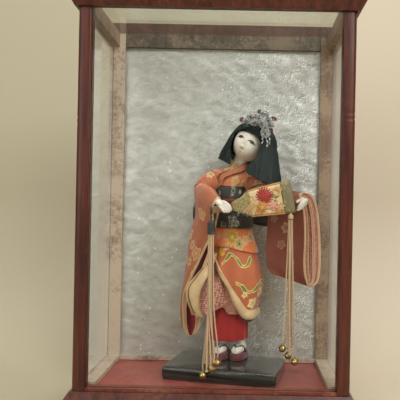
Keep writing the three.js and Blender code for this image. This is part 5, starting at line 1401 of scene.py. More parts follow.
def collarBand(line, side, grow, lift, wide, thick, slot):  # flat band over the shoulder, lying on the bodice
    spots = through(collarLines[line], 70)
    t = np.radians(90 + side * spots[:, 0])
    path = bodicePoint(t, spots[:, 1] + lift, grow)
    out = np.stack([np.cos(t), np.sin(t), 0.35 + 0 * t], 1)
    return sweep(path, oval(wide, thick, 24, 3.0), out, ends=(0.03, 0.5), slot=slot)


collar = joined([collarBand(*band) for band in collarBands])
collarSilks = [collarBrocade, creamSilk, orangeCrepe, darkSilk]
putPiece("goldCollar", collar, collarSilks, "gold_brocade", "collar", fill=0.3)
print("obi tied")


# sleeves
def edgeBands(points, layers):
    # rolls round the open edge, one inside the other: (share of the way across, step back, radius, finish)
    edge, back = points[-1], unit(points[-4] - points[-1])
    made = []
    for share, recede, radius, slot in layers:
        path, up = edge + (edge[::-1] - edge) * share + back * recede, back
        if share > 0:  # an inner roll also crosses the lower end
            path, up = np.vstack([path[:1] * 0.4 + path[-1:] * 0.6, path]), np.vstack([back[:1], back])
        made.append(sweep(path, oval(1.0, 1.2, 12), up, radius, (0.015, 0.5), slot=slot))
    return joined(made)


def innerLayer(points, outer, inner, recede, depth):
    # inner sleeve: rows from deep in the sleeve to its mouth at one share,
    # then across the mouth to a lesser share
    edge = points[-1]
    back = unit(points[0] - edge)
    deep = np.linspace(depth, 0, 10)[:, None, None]
    share = np.linspace(inner, outer, 9)[1:, None, None]
    tube = edge + (edge[::-1] - edge) * inner + back * (recede + deep)
    mouth = edge + (edge[::-1] - edge) * share + back * recede
    return np.concatenate([tube, mouth], 0)


def spreadMap(points, mid):  # arc along u, height above the doll's ground along v, the far layer set apart
    runs = np.cumsum(np.linalg.norm(np.diff(points, axis=0), axis=2), axis=0)
    u = np.concatenate([np.zeros((1, points.shape[1])), runs], 0)
    apart = np.where(np.arange(points.shape[1]) > mid, 300.0, 0.0)
    return np.stack([u + apart, points[..., 2]], -1) / 100


rightSize = {
    "fold": [
        (-45, 16.5, 25), (-51, 17, 36), (-52.5, 16.5, 50), (-51, 15, 66), (-50, 13, 83), (-48.9, 11, 100),
        (-46.5, 9, 118), (-44.7, 8, 135), (-41.5, 6, 150), (-38, 5, 164), (-38.8, 5, 180),
        (-39.8, 8, 193), (-36, 10, 202), (-27, 10, 198), (-24, 8, 185), (-27, 6, 168), (-32, 7, 150),
        (-36, 8, 133), (-39, 9.5, 116), (-42, 11, 100), (-44, 13, 84), (-46, 15, 66), (-47, 17, 50),
        (-46.5, 17.5, 37), (-44.6, 17, 25),
    ],
    "open": [
        (-44.5, 13, 24.5), (-48.5, 9.5, 35), (-49.6, 7, 50), (-50, 4, 67), (-47.5, -1, 79.5), (-41, -6, 94),
        (-33, -13, 111), (-24, -21, 129.5), (-16.5, -28, 146), (-15.5, -33, 160), (-16.5, -37, 170.5),
        (-14, -39.5, 177.5), (-10.5, -38, 182.5), (-8.5, -33, 182.5), (-8.5, -30, 177), (-10, -28, 168),
        (-14, -24, 150), (-17, -18, 132), (-21, -13, 117), (-26, -9, 103), (-30, -5, 90), (-31, 2, 70),
        (-30.5, 6, 52), (-31.8, 10, 38), (-37, 14, 26),
    ],
    "edges": [(0.0, -0.4, 1.0, 0), (0.1, 0.2, 0.8, 1), (0.19, 0.6, 0.7, 0)],
    "shoulder": [(-7, 18, 205.5), (-15, 18, 203.5), (-26, 14.5, 198), (-33, 8.5, 190.5)],
    "radii": [13.2, 13.4, 12.2, 9.6],
}
leftSize = {
    "fold": [
        (50, -3, 100), (45.5, -1, 106), (43.8, -0.5, 113), (43.2, 1, 126), (43.9, 2, 143), (44.6, 2, 162),
        (47, 2, 176), (50, 3, 186), (53, 8, 196), (51, 12, 188), (48, 11, 176), (46, 9, 162), (45, 8, 143),
        (44.5, 7, 126), (45, 5, 113), (46.5, 2, 106), (50, -1.4, 100),
    ],
    "open": [
        (90, -6, 87), (88.5, -8, 92), (86, -9.5, 100), (84.5, -11, 114.5), (84.8, -13, 133), (84.2, -15, 155),
        (82.5, -17.5, 170), (80, -19, 178), (79, -12, 189), (86, -5, 191), (93.5, -1, 187), (98.6, 2, 174.6),
        (101.5, 4, 155.5), (103.2, 5, 133), (103.7, 5, 110), (101.5, 3, 93), (95, -1, 86),
    ],
    "edges": [(0.0, -0.5, 1.0, 0), (0.055, 0.0, 0.75, 1), (0.29, 0.6, 0.8, 1), (0.35, 1.4, 0.7, 0)],
    "shoulder": [(15, 18, 202.5), (24, 18, 199), (42, 13, 192), (57, 7.5, 185)],
    "radii": [13.0, 13.4, 12.0, 9.4],
}
rightSheet = pairedSheet(rightSize["fold"], rightSize["open"], 36, 190, 2.6, 17, 0.8)
leftSheet = pairedSheet(leftSize["fold"], leftSize["open"], 40, 150, 2.2, 17, 0.75)
hang(
    "printedRightSleeve", rightSheet, [sleevePrint, crimsonLining, creamSilk], "orange_silk",
    ["right_sleeve"], 1.3, uv=spreadMap(rightSheet, 95),
)
# left sleeve in the darker copy of the print: painted shade
hang(
    "shadedLeftSleeve", leftSheet, [shadedSleevePrint, crimsonLining, creamSilk], "brick_silk", ["left_sleeve"], 1.3,
    uv=spreadMap(leftSheet, 75),
)
putPiece("rightSleeveEdges", edgeBands(rightSheet, rightSize["edges"]), [creamSilk, pinkSilk], "cream_silk")
putPiece("leftSleeveEdges", edgeBands(leftSheet, leftSize["edges"]), [creamSilk, pinkSilk], "cream_silk")
hang(
    "dottedLeftInnerSleeve", innerLayer(leftSheet, 0.05, 0.28, 1.6, 22.0), [dottedSilk, creamSilk],
    "pink_silk", [], 0.6,
)


def shoulderTube(points, radii, seed):  # soft tube over the shoulder, its wall rippled in gathers
    path, a = through(points, 50), ring(48)[None]
    size = np.interp(steps(50), steps(len(radii)), radii)
    gathers = ripple(3 * np.cos(a) + 0 * path[:, :1], np.linspace(0, 9, 50)[:, None] + 2 * np.sin(a), seed)
    section = (1 + 0.03 * gathers)[..., None] * np.stack([np.cos(a), np.sin(a)], -1)
    return sweep(path, section, (0, 0.2, 1), size, (0.05, 0.6))


for label, spec, seed in (("right", rightSize, 31), ("left", leftSize, 32)):
    tube = shoulderTube(spec["shoulder"], spec["radii"], seed)
    putPiece(f"{label}ShoulderSleeve", tube, sleevePrint, "orange_silk", fill=0.3)
seamSize = {"middle": (-16.0, 18.0, 203.4), "way": (-11.0, -3.5, -5.5), "radius": 13.7, "thick": 0.45}
t = ring(96)[:, None]
seamTurn = facing([seamSize["way"]], np.zeros(1))[0]
seam = seamSize["radius"] * (np.cos(t) * seamTurn[:, 0] + np.sin(t) * seamTurn[:, 1]) + seamSize["middle"]
seam = sweep(seam, oval(1.0, 1.0, 10), seamSize["way"], seamSize["thick"], closed=True)
putPiece("armholeSeam", seam, darkSilk, "orange_silk")
print("sleeves hung")


# arms and hands
def almondParts(place, x, y, long, high, lean):
    # eye shape: two parabolas over a leaning line, with its upper lid and a round iris
    parts = axes(place)
    dx = parts[0] - x
    dy = parts[1] - y - dx * lean
    q = dx / long
    arch = high * (1.0 - q * q)
    below = arch - dy
    inside = below.span(0.0, 0.0016) * (dy + arch * 0.6).span(0.0, 0.0016)
    lid = below.of("ABSOLUTE").span(0.0042, 0.007, 1.0, 0.0) * (q.of("ABSOLUTE") < 1.12)
    far = (dx * dx + dy * dy).of("SQRT")
    return {"Inside": inside, "Lid": lid, "Iris": inside * (far / high).span(0.95, 1.1, 1.0, 0.0)}


almond = effect("paintedAlmond", almondParts, Place=None, X=0.0, Y=0.0, Long=0.03, High=0.01, Lean=0.0)
faceMarks = [  # x, y, half length, height, lean, strength, colour of the two lips and of the painted shade under the nose
    (0.0, -0.1395, 0.022, 0.008, 0.0, 0.6, (182, 116, 104)),
    (0.0, -0.1525, 0.022, 0.009, 0.0, 0.6, (200, 142, 126)),
    # painted shade under the nose
    (0.0, -0.107, 0.024, 0.009, 0.0, 0.4, (142, 124, 102)),
]


def skinFinish(name, paint=False):  # shell-white paint, faintly crazed; on the face also eyes, brows, lips and a painted shade under the nose
    material, place = newFinish(name)
    craze = noise(place, 260.0, 4.0, 0.6)
    colour = mix(noise(place, 45.0).span(0.35, 0.7), (240, 234, 221), (228, 217, 201))
    if paint:
        flat = placeOn(material, True)
        for x, lean in ((-0.074, 0.14), (0.074, -0.14)):
            brow = use(almond, flat, x * 0.8, 0.056, 0.022, 0.008, lean)
            eye = use(almond, flat, x, -0.001, 0.04, 0.019, lean)
            colour = layered(
                colour, (brow["Inside"] * 0.3, (110, 104, 100)), (eye["Inside"], (150, 138, 112)),
                (eye["Iris"], (30, 26, 16)), (eye["Lid"], (44, 36, 24)),
            )
        for *mark, strength, shade in faceMarks:
            colour = mix(use(almond, flat, *mark)["Inside"] * strength, colour, shade)
    values = {"Specular IOR Level": 0.45, "Subsurface Weight": 0.08, "Subsurface Scale": 0.002}
    return closeFinish(material, colour, craze.span(0.3, 0.7, 0.42, 0.56), (craze, 0.06, 0.0002), values)


skinPaint, facePaint = skinFinish("shellWhitePaint"), skinFinish("paintedFace", True)
handSize = {"finger": 1.75, "sides": 14}
rightDepths = (-40.0, -42.6, -44.0, -44.2, -43.4)
rightFingers = [  # across and up at each of those depths
    [(-7.0, 179.0), (-2.3, 177.4), (1.5, 174.5), (3.3, 171.4), (3.8, 168.5)],
    [(-7.6, 177.6), (-3.3, 175.5), (0.0, 172.4), (1.6, 169.3), (1.9, 167.2)],
    [(-8.3, 176.1), (-4.6, 173.9), (-2.0, 171.0), (-0.5, 168.6), (-0.1, 166.8)],
    [(-9.3, 175.1), (-6.4, 172.6), (-4.2, 170.2), (-2.9, 168.3), (-2.3, 167.3)],
]
rightHand = {
    "arm": [
        (-20, 15, 199), (-30, 8, 192), (-21, -12, 186), (-14, -27, 181.8),
        (-11, -34.5, 179.2), (-8.6, -38.8, 177.4), (-5.8, -41.4, 175.4), (-3.0, -42.8, 172.8),
    ],
    "radii": [4.6, 4.8, 4.2, 3.2, 2.9, 3.8, 4.3, 3.2], "flat": 0.85, "count": 80, "up": (0, 1, 0),
    "taper": (0.9, 1.15, 1.1, 1.0, 0.8), "sizes": (1, 1, 1, 1), "fingerCount": 34,
    "fingers": [[(x, y, z) for (x, z), y in zip(line, rightDepths)] for line in rightFingers],
    "thumb": [(-8.0, -37.6, 175.0), (-4.5, -37.0, 171.6), (-1.2, -37.2, 169.8)],
    "thumbRadii": [2.0, 1.9, 1.3], "thumbCount": 30,
}
leftFinger = np.array([
    (84.4, -18.4, 181.2), (82.8, -21.6, 179.4), (79.4, -23.4, 176.6), (75.6, -23.0, 174.2),
])
leftHand = {
    "arm": [
        (40, 13, 192), (58, 7, 185.5), (70, -2, 184), (79.5, -9.5, 182.6),
        (82.4, -15.5, 180.0), (80.6, -20.6, 177.2), (77.6, -22.2, 175.2),
    ],
    "radii": [4.6, 4.8, 4.3, 3.3, 4.4, 4.6, 3.0], "flat": 0.95, "count": 70, "up": (0, 0, 1),
    "taper": (1.1, 1.25, 1.1, 0.8), "sizes": (1.06, 1.12, 1.06, 0.9), "fingerCount": 30,
    "fingers": [leftFinger + np.array((-0.7, 0.35, -1.75)) * (k - 1.2) for k in range(4)],
    "thumb": [(79.2, -16.5, 182.0), (76.4, -19.4, 181.4), (74.0, -21.4, 179.6)],
    "thumbRadii": [1.9, 1.8, 1.2], "thumbCount": 22,
}


def makeArm(label, hand):  # tubes through points for the arm with its palm, the fingers and the thumb
    tip = (1.0, hand["up"], handSize["sides"])
    parts = [limb(hand["arm"], hand["radii"], hand["flat"], count=hand["count"])]
    for line, size in zip(hand["fingers"], hand["sizes"]):
        radii = handSize["finger"] * np.array(hand["taper"]) * size
        parts.append(limb(line, radii, *tip, hand["fingerCount"]))
    parts.append(limb(hand["thumb"], hand["thumbRadii"], *tip, hand["thumbCount"]))
    putPiece(f"{label}ArmAndHand", joined(parts), skinPaint, "white_paint", f"{label}_arm")


makeArm("right", rightHand)
makeArm("left", leftHand)

# battledore
bladeSize = {
    "turn": spun(z=10.5) @ spun(-11.2), "place": (69.0, -27.0, 186.4), "halfThick": 1.9,
    "outline": [  # along, half width
        (-90, 2.6), (-88.5, 3.5), (-72, 3.5), (-57, 3.7), (-53.5, 7.6),
        (-50.5, 11.6), (-48, 13.5), (-24, 15.5), (-1.5, 17.3), (0, 16.4),
    ],
    "edge": [  # inset, share of half the thickness
        (1.0, -1), (0.3, -0.92), (0.0, -0.55), (0.0, 0.55), (0.3, 0.92), (1.0, 1),
    ],
    "pad": (-47.0, -11.6), "band": (-11.8, 0.5), "neck": [(-66, 4.3), (-56, 8.0), (-50, 12.2), (-46.6, 13.9)],
    "loops": (-89.4, -88.2),
}
bladeHalfThick = bladeSize["halfThick"]


def onBlade(shape):  # from the board's own frame into the figure's
    return moved(shape, bladeSize["turn"], bladeSize["place"])


def boardShape():  # outline mirrored about its long axis, its two faces joined by a rounded edge
    upper = np.array(bladeSize["outline"], float)
    line = evenly(np.vstack([upper, upper[::-1] * [1, -1], upper[:1]]), 260, True)
    run = unit(np.roll(line, -1, 0) - np.roll(line, 1, 0))
    out = np.stack([-run[:, 1], run[:, 0]], 1)
    inset, y = np.array(bladeSize["edge"]).T
    flat = line[:, None] - out[:, None] * inset[None, :, None]
    y = np.broadcast_to(y * bladeHalfThick, flat.shape[:2])
    return solid(np.stack([flat[..., 0], y, flat[..., 1]], -1))


def bladeHalf(x):  # half width of the board at a place along it
    return np.interp(x, *np.array(bladeSize["outline"], float).T)


def padShape(start, stop, margin, rise, wrap=False, halves=None):
    # cushion over part of the board: its height is a rounded product of the distances to its edges
    s, w = np.meshgrid(steps(56), np.linspace(-1, 1, 48), indexing="ij")
    x, m = start + (stop - start) * s, 2 * s - 1
    half = np.interp(x, *np.array(halves).T) if halves else bladeHalf(np.clip(x, -90, -1.6)) - margin
    crown = 0.75 + 0.25 * np.cos(1.4 * w) * np.cos(1.6 * m)
    lift = (1 - m**8) ** 0.5 * (1 - w**8) ** 0.5 * rise * crown
    front = np.stack([x, -bladeHalfThick - lift + 0.1, w * half], -1)
    back = front.copy()
    back[..., 1] = bladeHalfThick + 0.6 * lift - 0.1 if wrap else -bladeHalfThick + 0.5
    return solid(np.concatenate([front, back[:, ::-1]], 1).transpose(1, 0, 2))


def petalShape(long, wide, high):  # puffed petal lying along x: widths follow a sine
    s = steps(12)
    widths = wide * np.sin(np.pi * (0.08 + 0.86 * s)) ** 0.7
    size = np.stack([widths, high * np.sin(np.pi * (0.1 + 0.8 * s)) ** 0.6], 1)
    return sweep(np.stack([long * s, 0 * s, 0 * s + 0.3], 1), size[:, None] * oval(1.0, 1.0, 10))


def rosette(x, z, lift, slot, rings, core=None):
    # rings of petals round a spot of the board's face: (count, start, (long, wide, high), tilt, rise)
    made = []
    base = np.array([[1.0, 0, 0], [0, 0, -1.0], [0, 1.0, 0]])
    for count, start, petal, tilt, rise in rings:
        turns = fullTurn * np.arange(count) / count + tilt
        c, s, zero = np.cos(turns), np.sin(turns), 0 * turns
        spin = np.stack([[c, -s, zero], [s, c, zero], [zero, zero, zero + 1]]).transpose(2, 0, 1)
        places = np.stack([x + start * c, zero - bladeHalfThick - lift - rise, z + start * s], 1)
        made.append(copies(inSlot(petalShape(*petal), slot), base @ spin, places))
    if core:
        radius, coreSlot = core
        t = np.linspace(0, np.pi / 2, 8)[:-1]
        dome = inSlot(turned(np.stack([radius * np.cos(t), 0.8 * radius * np.sin(t)], 1), 20), coreSlot)
        made.append(moved(dome, base, (x, -bladeHalfThick - lift - rings[-1][4] - 0.6, z)))
    return joined(made)


def vineRing(x, z, radius, thick, lift, slot):  # padded tendril: a spiral roll on the face
    t = np.linspace(0, fullTurn * 1.35, 80)
    r = radius * (1 - 0.5 * t / t[-1])
    path = np.stack([x + r * np.cos(t), np.full_like(t, -bladeHalfThick - lift), z + r * np.sin(t)], 1)
    size = thick * (1 + 0.12 * np.sin(9 * t))
    return sweep(path, oval(1.0, 0.9, 12), (0, -1, 0), size, (0.08, 0.3), slot=slot)


redPetal = plainCloth("scarletPetalSilk", (158, 36, 30), (198, 78, 60), 260.0, 0.5, 0.5)
goldPetal = plainCloth("goldPetalSilk", (176, 112, 40), (222, 168, 84), 260.0, 0.42, 0.3, (126, 64, 34))
pinkPetal = plainCloth("pinkPetalSilk", (206, 126, 110), (236, 184, 164), 260.0, 0.5, 0.5)
greenPetal = plainCloth("greenGoldSilk", (92, 92, 60), (146, 140, 96), 260.0, 0.42, 0.3)
boardPaint = lacquerFinish("paintedBoard", (118, 84, 60), (154, 114, 82), (98, 68, 46), 0.3)
reliefFlowers = [  # x, z, lift, finish, rings of petals, core's radius and finish
    (-30.8, 5.6, 1.6, 0, [
        (18, 2.8, (6.6, 1.0, 0.9), 0.0, 0.0), (14, 1.8, (5.2, 0.95, 0.9), 0.2, 1.0),
        (9, 0.8, (3.6, 0.85, 0.8), 0.1, 1.9),
    ], (1.1, 0)),
    (-35.2, -5.6, 1.9, 1, [
        (8, 1.2, (5.4, 1.9, 0.9), 0.3, 0.0), (6, 0.5, (3.8, 1.5, 0.9), 0.0, 1.0),
    ], (1.0, 4)),
    (-23.6, -6.2, 1.7, 2, [
        (6, 0.9, (5.0, 1.9, 0.8), 0.5, 0.0), (5, 0.2, (3.0, 1.1, 0.7), 1.1, 0.8),
    ], (0.8, 1)),
    (-15.6, -9.0, 1.6, 5, [(6, 0.9, (4.4, 1.5, 0.8), 0.1, 0.0)], (1.5, 4)),
    (-21.0, 0.8, 1.4, 3, [(4, 1.0, (5.4, 1.3, 0.6), 0.4, 0.0)]),
    (-43.4, 5.4, 1.2, 4, [(4, 0.6, (4.4, 1.4, 0.6), 0.7, 0.0)]),
]
reliefVines = [  # x, z, radius, thickness, lift, finish
    (-16.6, 7.2, 5.2, 1.25, 1.9, 5), (-26.5, -1.2, 2.2, 0.6, 1.9, 1),
    (-20.0, -12.6, 2.0, 0.55, 1.6, 1), (-41.8, -10.6, 2.2, 0.6, 1.5, 1),
]
putPiece("battledoreBoard", onBlade(boardShape()), boardPaint, "painted_board", "battledore", crisp=40)
facePad, endBand = padShape(*bladeSize["pad"], 0.9, 1.7), padShape(*bladeSize["band"], -0.5, 1.9, True)
neckBand = padShape(bladeSize["neck"][0][0], bladeSize["neck"][-1][0], 0.0, 1.2, True, bladeSize["neck"])
putPiece("battledoreFacePad", onBlade(facePad), creamBrocade, "cream_silk", fill=0.7)
putPiece("battledoreEndBand", onBlade(endBand), oliveBrocade, "gold_brocade", fill=0.7)
putPiece("battledoreNeckBand", onBlade(neckBand), oliveDots, "gold_brocade", fill=0.7)
relief = joined([rosette(*flower) for flower in reliefFlowers] + [vineRing(*spec) for spec in reliefVines])
petalSilks = [redPetal, goldPetal, pinkPetal, greenPetal, creamSilk, tanSilk]
putPiece("battledoreRelief", onBlade(relief), petalSilks, "red_silk", fill=0.7)
cords = []
for k in range(3):  # three cords across the neck
    spots = [
        (-56 + 3.0 * k, -3.2, -8.8 - 0.8 * k), (-50.5 + 2.6 * k, -4.2, -4.0 - 0.6 * k),
        (-43.4 + 1.6 * k, -4.2, 1.0 - 1.6 * k),
    ]
    cords.append(sweep(through(spots, 30), oval(0.9, 0.5, 12), (0, -1, 0), ends=(0.05, 0.4)))
for side in (1, -1):  # a cord along each edge
    spots = [(x, -1.2, side * (bladeHalf(x) + 0.1)) for x in np.linspace(-47.5, -11, 8)]
    cords.append(sweep(through(spots, 50), oval(0.8, 0.8, 10), (0, -1, 0), slot=1))
putPiece("battledoreCords", onBlade(joined(cords)), [tanSilk, goldPetal], "gold_brocade")
strapSpots = [
    (16.5, -1.0, 190.0), (18.5, -6.5, 191.0), (24, -20, 194.2), (32, -32.5, 197.6), (36, -36.2, 197.4),
]
black = [sweep(through(strapSpots, 50), oval(1.5, 0.8, 18, 3.0), (0.2, -0.8, 0.6), ends=(0.04, 0.5))]
t = ring(60)
for x in bladeSize["loops"]:
    loop = np.stack([x + 0.5 * np.sin(t), 2.7 * np.cos(t), 4.2 * np.sin(t)], 1)
    black.append(onBlade(sweep(loop, oval(0.5, 0.5, 12), (1, 0, 0), closed=True)))
putPiece("blackSilkStrapAndLoop", joined(black), blackThread, "black_thread")
print("battledore held")

# head
headSize = {
    "place": (22.3, 9.2, 246.3), "turn": spun(29, -13), "half": (18.0, 20.0, 21.4), "low": 0.95, "high": 0.95,
    "neck": [(9.5, 18, 206), (9.6, 17.0, 216), (11.0, 14.8, 224), (13.6, 12.8, 231), (17, 11.4, 238)],
    "neckRadii": [6.6, 6.8, 7.4, 7.8, 7.4],
}
faceBumps = [  # middle across and up, spread across and up, height
    (0, -3.6, 1.3, 5.0, 2.3), (0, -8.8, 1.8, 1.6, 3.0), (1.8, -9.3, 0.9, 0.8, 0.5),
    (-1.8, -9.3, 0.9, 0.8, 0.5), (7.4, 0.2, 3.8, 2.2, -0.9), (-7.4, 0.2, 3.8, 2.2, -0.9),
    (7.4, 0.0, 3.0, 1.1, 0.65), (-7.4, 0.0, 3.0, 1.1, 0.65), (1.0, -13.7, 1.2, 0.6, 0.7),
    (-1.0, -13.7, 1.2, 0.6, 0.7), (0, -15.3, 1.7, 0.7, 0.9), (0, -14.5, 2.6, 0.28, -0.5),
    (0, -16.8, 2.4, 0.9, -0.3), (0, -18.2, 3.4, 1.6, 0.9), (9.4, -7.5, 5, 5, 0.9),
    (-9.4, -7.5, 5, 5, 0.9),
]


def headShape():  # ellipsoid whose chin comes forward; humps across and up push its face forward
    a, b, c = headSize["half"]
    u = ring(220)[:, None]
    v = np.linspace(-0.495, 0.495, 160)[None] * np.pi
    x, y = a * np.cos(v) * np.sin(u), -b * np.cos(v) * np.cos(u)
    z = c * np.sin(v) * np.where(v < 0, headSize["low"], 1.0) + 0 * u
    front = ease(-y / b, 0.1, 0.7)
    jaw, crown = ease(-z, 2, 20), 1 - 0.1 * ease(z, 5, 16)
    x, y, z = x * crown, y * crown, np.where(z > 0, z * headSize["high"], z)
    y = y + 2.2 * ease(y, 0, 18) * jaw - 2.0 * front * jaw
    push = sum(h * hump(x - mx, wx) * hump(z - mz, wz) for mx, mz, wx, wz, h in faceBumps)
    y = y - front * push
    uv = np.stack([x / 100, z / 100 + np.where(y > 0, 3.0, 0.0)], -1)
    uv = np.concatenate([uv, uv[:1]], 0)
    return solid(np.stack([x, y, z], -1)[::-1], uv[::-1])


neck = inSlot(limb(headSize["neck"], headSize["neckRadii"], 1.0, (0, -1, 0.2), 32), 1)
head = joined([moved(headShape(), headSize["turn"], headSize["place"]), neck])
putPiece("paintedHead", head, [facePaint, skinPaint], "white_paint", "head")


# wig
def hairFinish():  # fine strands along the hair's fall: streaks on the piece's own map
    material, place = newFinish("greenBlackHair", True)
    strand = noise(shifted(place, scale=(1.0, 0.03, 1.0)), 420.0, 3.0, 0.7)
    lock = noise(shifted(place, scale=(1.0, 0.08, 1.0)), 60.0, 3.0, 0.6)
    colour = mix(strand.span(0.35, 0.7), (12, 18, 17), (34, 46, 42))
    colour = mix(lock.span(0.5, 0.8, 0.0, 0.4), colour, (44, 58, 54))
    values = {"Specular IOR Level": 0.2, "Anisotropic": 0.4}
    bump = (strand + lock * 1.5, 0.5, 0.0004)
    return closeFinish(material, colour, strand.span(0.2, 0.8, 0.48, 0.62), bump, values)


hairSize = {
    "turn": spun(21, -25), "place": (24.4, 9.8, 243.6), "crown": 28.5, "fall": 31.0, "spread": 15.0,
    "lean": 8.0, "slant": 5.2, "start": 8.0, "half": (28.2, 26.2), "y": 2.67, "face": (17.4, 11.5),
    "hairline": 11.0, "parting": 0.12, "fringeHalf": 58, "curtainWall": 2.6, "fringeWall": 2.0,
}
greenBlackHair = hairFinish()


def fallShare(z):  # share of the way from the start of the flare to the hair's end
    return np.maximum(hairSize["start"] - z, 0) / (hairSize["fall"] + hairSize["start"])


def hairPoint(turn, z, grow):
    # dome above, widening curtain below: half widths swell with the fall to the power 1.1
    top = hairSize["crown"] + grow
    dome = np.sqrt(np.maximum(1 - np.maximum(z, 0) ** 2 / top**2, 0.0))
    low = fallShare(z)
    widen = hairSize["spread"] * low**1.1
    x = hairSize["lean"] * low + ((hairSize["half"][0] + grow) * dome + widen) * np.sin(turn)
    y = hairSize["y"] - ((hairSize["half"][1] + grow) * dome + widen / 4) * np.cos(turn)
    return np.stack([x, y, z + 0 * turn], -1)


def strandRidge(turn, s):  # locks of three sizes along the turn, growing towards the ends
    locks = 0.28 * np.sin(46 * turn + 2 * s) + 0.2 * np.sin(113 * turn + 3 * s + 1)
    locks = locks + 0.12 * np.sin(211 * turn)
    return locks * (0.25 + 0.75 * s)


def curtainShape():
    # from one cheek round the back to the other; near the face the start turn opens
    # so that the cheeks stay bare
    s = steps(90)[None]
    end = -hairSize["fall"]
    z = end + (hairSize["crown"] - end) * np.sin(np.pi / 2 * (1 - s))
    half = hairPoint(np.array(np.pi / 2), z, 0.0)[..., 0] - hairSize["lean"] * fallShare(z)
    cheek, neck = hairSize["face"]
    bare = np.arcsin(np.clip((cheek + (neck - cheek) * ease(-z, 11, 24)) / np.maximum(half, 18), 0, 1))
    opening = ease(-z, -hairSize["hairline"] - 6, -hairSize["hairline"] + 7)
    start = hairSize["parting"] + (bare - hairSize["parting"]) * opening
    turn = start + (fullTurn - 2 * start) * steps(420)[:, None]
    ragged = s**6 * (0.7 * np.sin(60 * turn) + 0.5 * np.sin(147 * turn + 1)) * 0.5
    z = z - ragged - hairSize["slant"] * s**3 * np.sin(turn)
    return hairPoint(turn, z, strandRidge(turn, s) - 1.6 * ease(s, 0.86, 1.0))


def fringeShape():  # from the crown down to a hairline that drops towards the temples
    s = steps(60)[None]
    side = np.radians(hairSize["fringeHalf"])
    turn = np.radians(np.linspace(-hairSize["fringeHalf"], hairSize["fringeHalf"], 180))[:, None]
    end = hairSize["hairline"] - 10.0 * np.abs(turn / side) ** 2.4 + 0.5 * np.sin(70 * turn)
    z = end + (hairSize["crown"] + 0.2 - end) * np.sin(np.pi / 2 * (1 - s))
    return hairPoint(turn, z, 0.7 + strandRidge(turn, s) - 2.2 * ease(s, 0.6, 1.0))


for name, points, wall, stands in (
    ("wigCurtain", curtainShape(), hairSize["curtainWall"], ["wig"]),
    ("wigFringe", fringeShape(), hairSize["fringeWall"], []),
):
    shape = gridShape(points @ hairSize["turn"].T + np.array(hairSize["place"]))
    thicken(putPiece(name, shape, greenBlackHair, "hair", *stands), wall, even=False)
print("wig set")


# hair ornament
def foilLeafFinish(name, low, high, metal, rough):  # creased leaf, rougher in its creases
    material, place = newFinish(name)
    crease = noise(place, 900.0, 4.0, 0.65)
    colour = mix(crease.span(0.3, 0.7), low, high)
    grit = crease.span(0.2, 0.8, rough, rough + 0.2)
    return closeFinish(material, colour, grit, (crease, 0.5, 0.0003), {"Metallic": metal})


# silver leaf swings from nearly black to near white with its crease pattern: painted shade and painted
# highlight
silverLeaf = foilLeafFinish("silverLeaf", (84, 86, 84), (222, 222, 216), 0.85, 0.2)
maroonSilk = foilLeafFinish("maroonPetalSilk", (52, 16, 20), (92, 34, 38), 0.0, 0.55)
darkCore = foilLeafFinish("darkBlossomCore", (26, 20, 20), (60, 44, 36), 0.2, 0.4)


def frill(radius, petals, cup):  # cupped ruffled disc: edge and height swing with the petals
    a = ring(42)[:, None]
    r = np.linspace(0.12, 1, 7)[None]
    edge = 0.82 + 0.18 * np.abs(np.cos(petals * a / 2))
    reach = radius * r * (1 - (1 - edge) * r**2)
    z = radius * (cup * r**2 + 0.13 * np.sin(2 * petals * a) * r**2)
    return gridShape(np.stack([reach * np.cos(a), reach * np.sin(a), z], -1), True, False, True, False)


blooms = np.array([
    (18.7, -15.0, 267.5), (27.3, -17.0, 265.8), (38.2, -11.5, 276.5), (38.4, -16.8, 260.2),
    (38.9, -18.0, 254.0), (44.7, -13.0, 264.1), (42.3, -12.0, 269.4), (32.5, -15.0, 270.8),
    (22.6, -14.2, 272.0), (35.0, -17.4, 265.2),
])
petals = np.array([
    (14.0, -13.0, 269.8), (27.5, -13.4, 274.0), (28.4, -16.9, 269.6),
    (33.4, -10.2, 279.2), (48.6, -7.4, 272.6), (45.5, -14.6, 258.4),
])
dangles = np.array([
    [(38.9, -19.5, 252.0), (40.8, -20.4, 247.0), (41.6, -21.0, 242.0)],
    [(41.5, -18.8, 254.0), (43.6, -19.6, 249.5), (44.2, -20.2, 244.5)],
    [(36.0, -19.8, 255.0), (36.2, -20.8, 250.0), (36.6, -21.4, 245.4)],
])
dropTurns = np.radians([-80, -60, -100, -85, -70, -95, -75, -90, -110])
dice = np.random.default_rng(27)
headMiddle = np.array(hairSize["place"])
ways = unit(blooms - headMiddle) + [0, -0.55, 0] + dice.normal(0, 0.18, blooms.shape)
size = dice.uniform(0.85, 1.15, len(blooms))[:, None, None]
outer = copies(frill(5.3, 6, 0.34), facing(ways, dice.uniform(0, 6, len(blooms))) * size, blooms)
inner = facing(ways, dice.uniform(0, 6, len(blooms))) * size
inner = copies(frill(3.1, 6, 0.6), inner, blooms + unit(ways) * 0.7)
t = np.linspace(0, np.pi / 2, 6)[:-1]
dot = turned(np.stack([1.05 * np.cos(t), 0.8 * np.sin(t)], 1), 12)
cores = copies(inSlot(dot, 1), facing(ways, np.zeros(len(blooms))), blooms + unit(ways) * 0.9)
ways = unit(petals - headMiddle) + [0, -0.5, 0] + dice.normal(0, 0.25, petals.shape)
red = copies(frill(3.7, 5, 0.25), facing(ways, dice.uniform(0, 6, len(petals))), petals - unit(ways) * 0.8)
posy = joined([outer, inner, cores, inSlot(red, 2)])
posy = putPiece("hairBlossoms", posy, [silverLeaf, darkCore, maroonSilk], "silver_foil", "hair_ornament")
thicken(posy, 0.25)
wires = []
for tip in np.vstack([blooms, petals]):
    stem = through([headMiddle + (tip - headMiddle) * 0.86, tip], 8)
    wires.append(sweep(stem, oval(0.45, 0.45, 8), (1, 0.1, 0)))
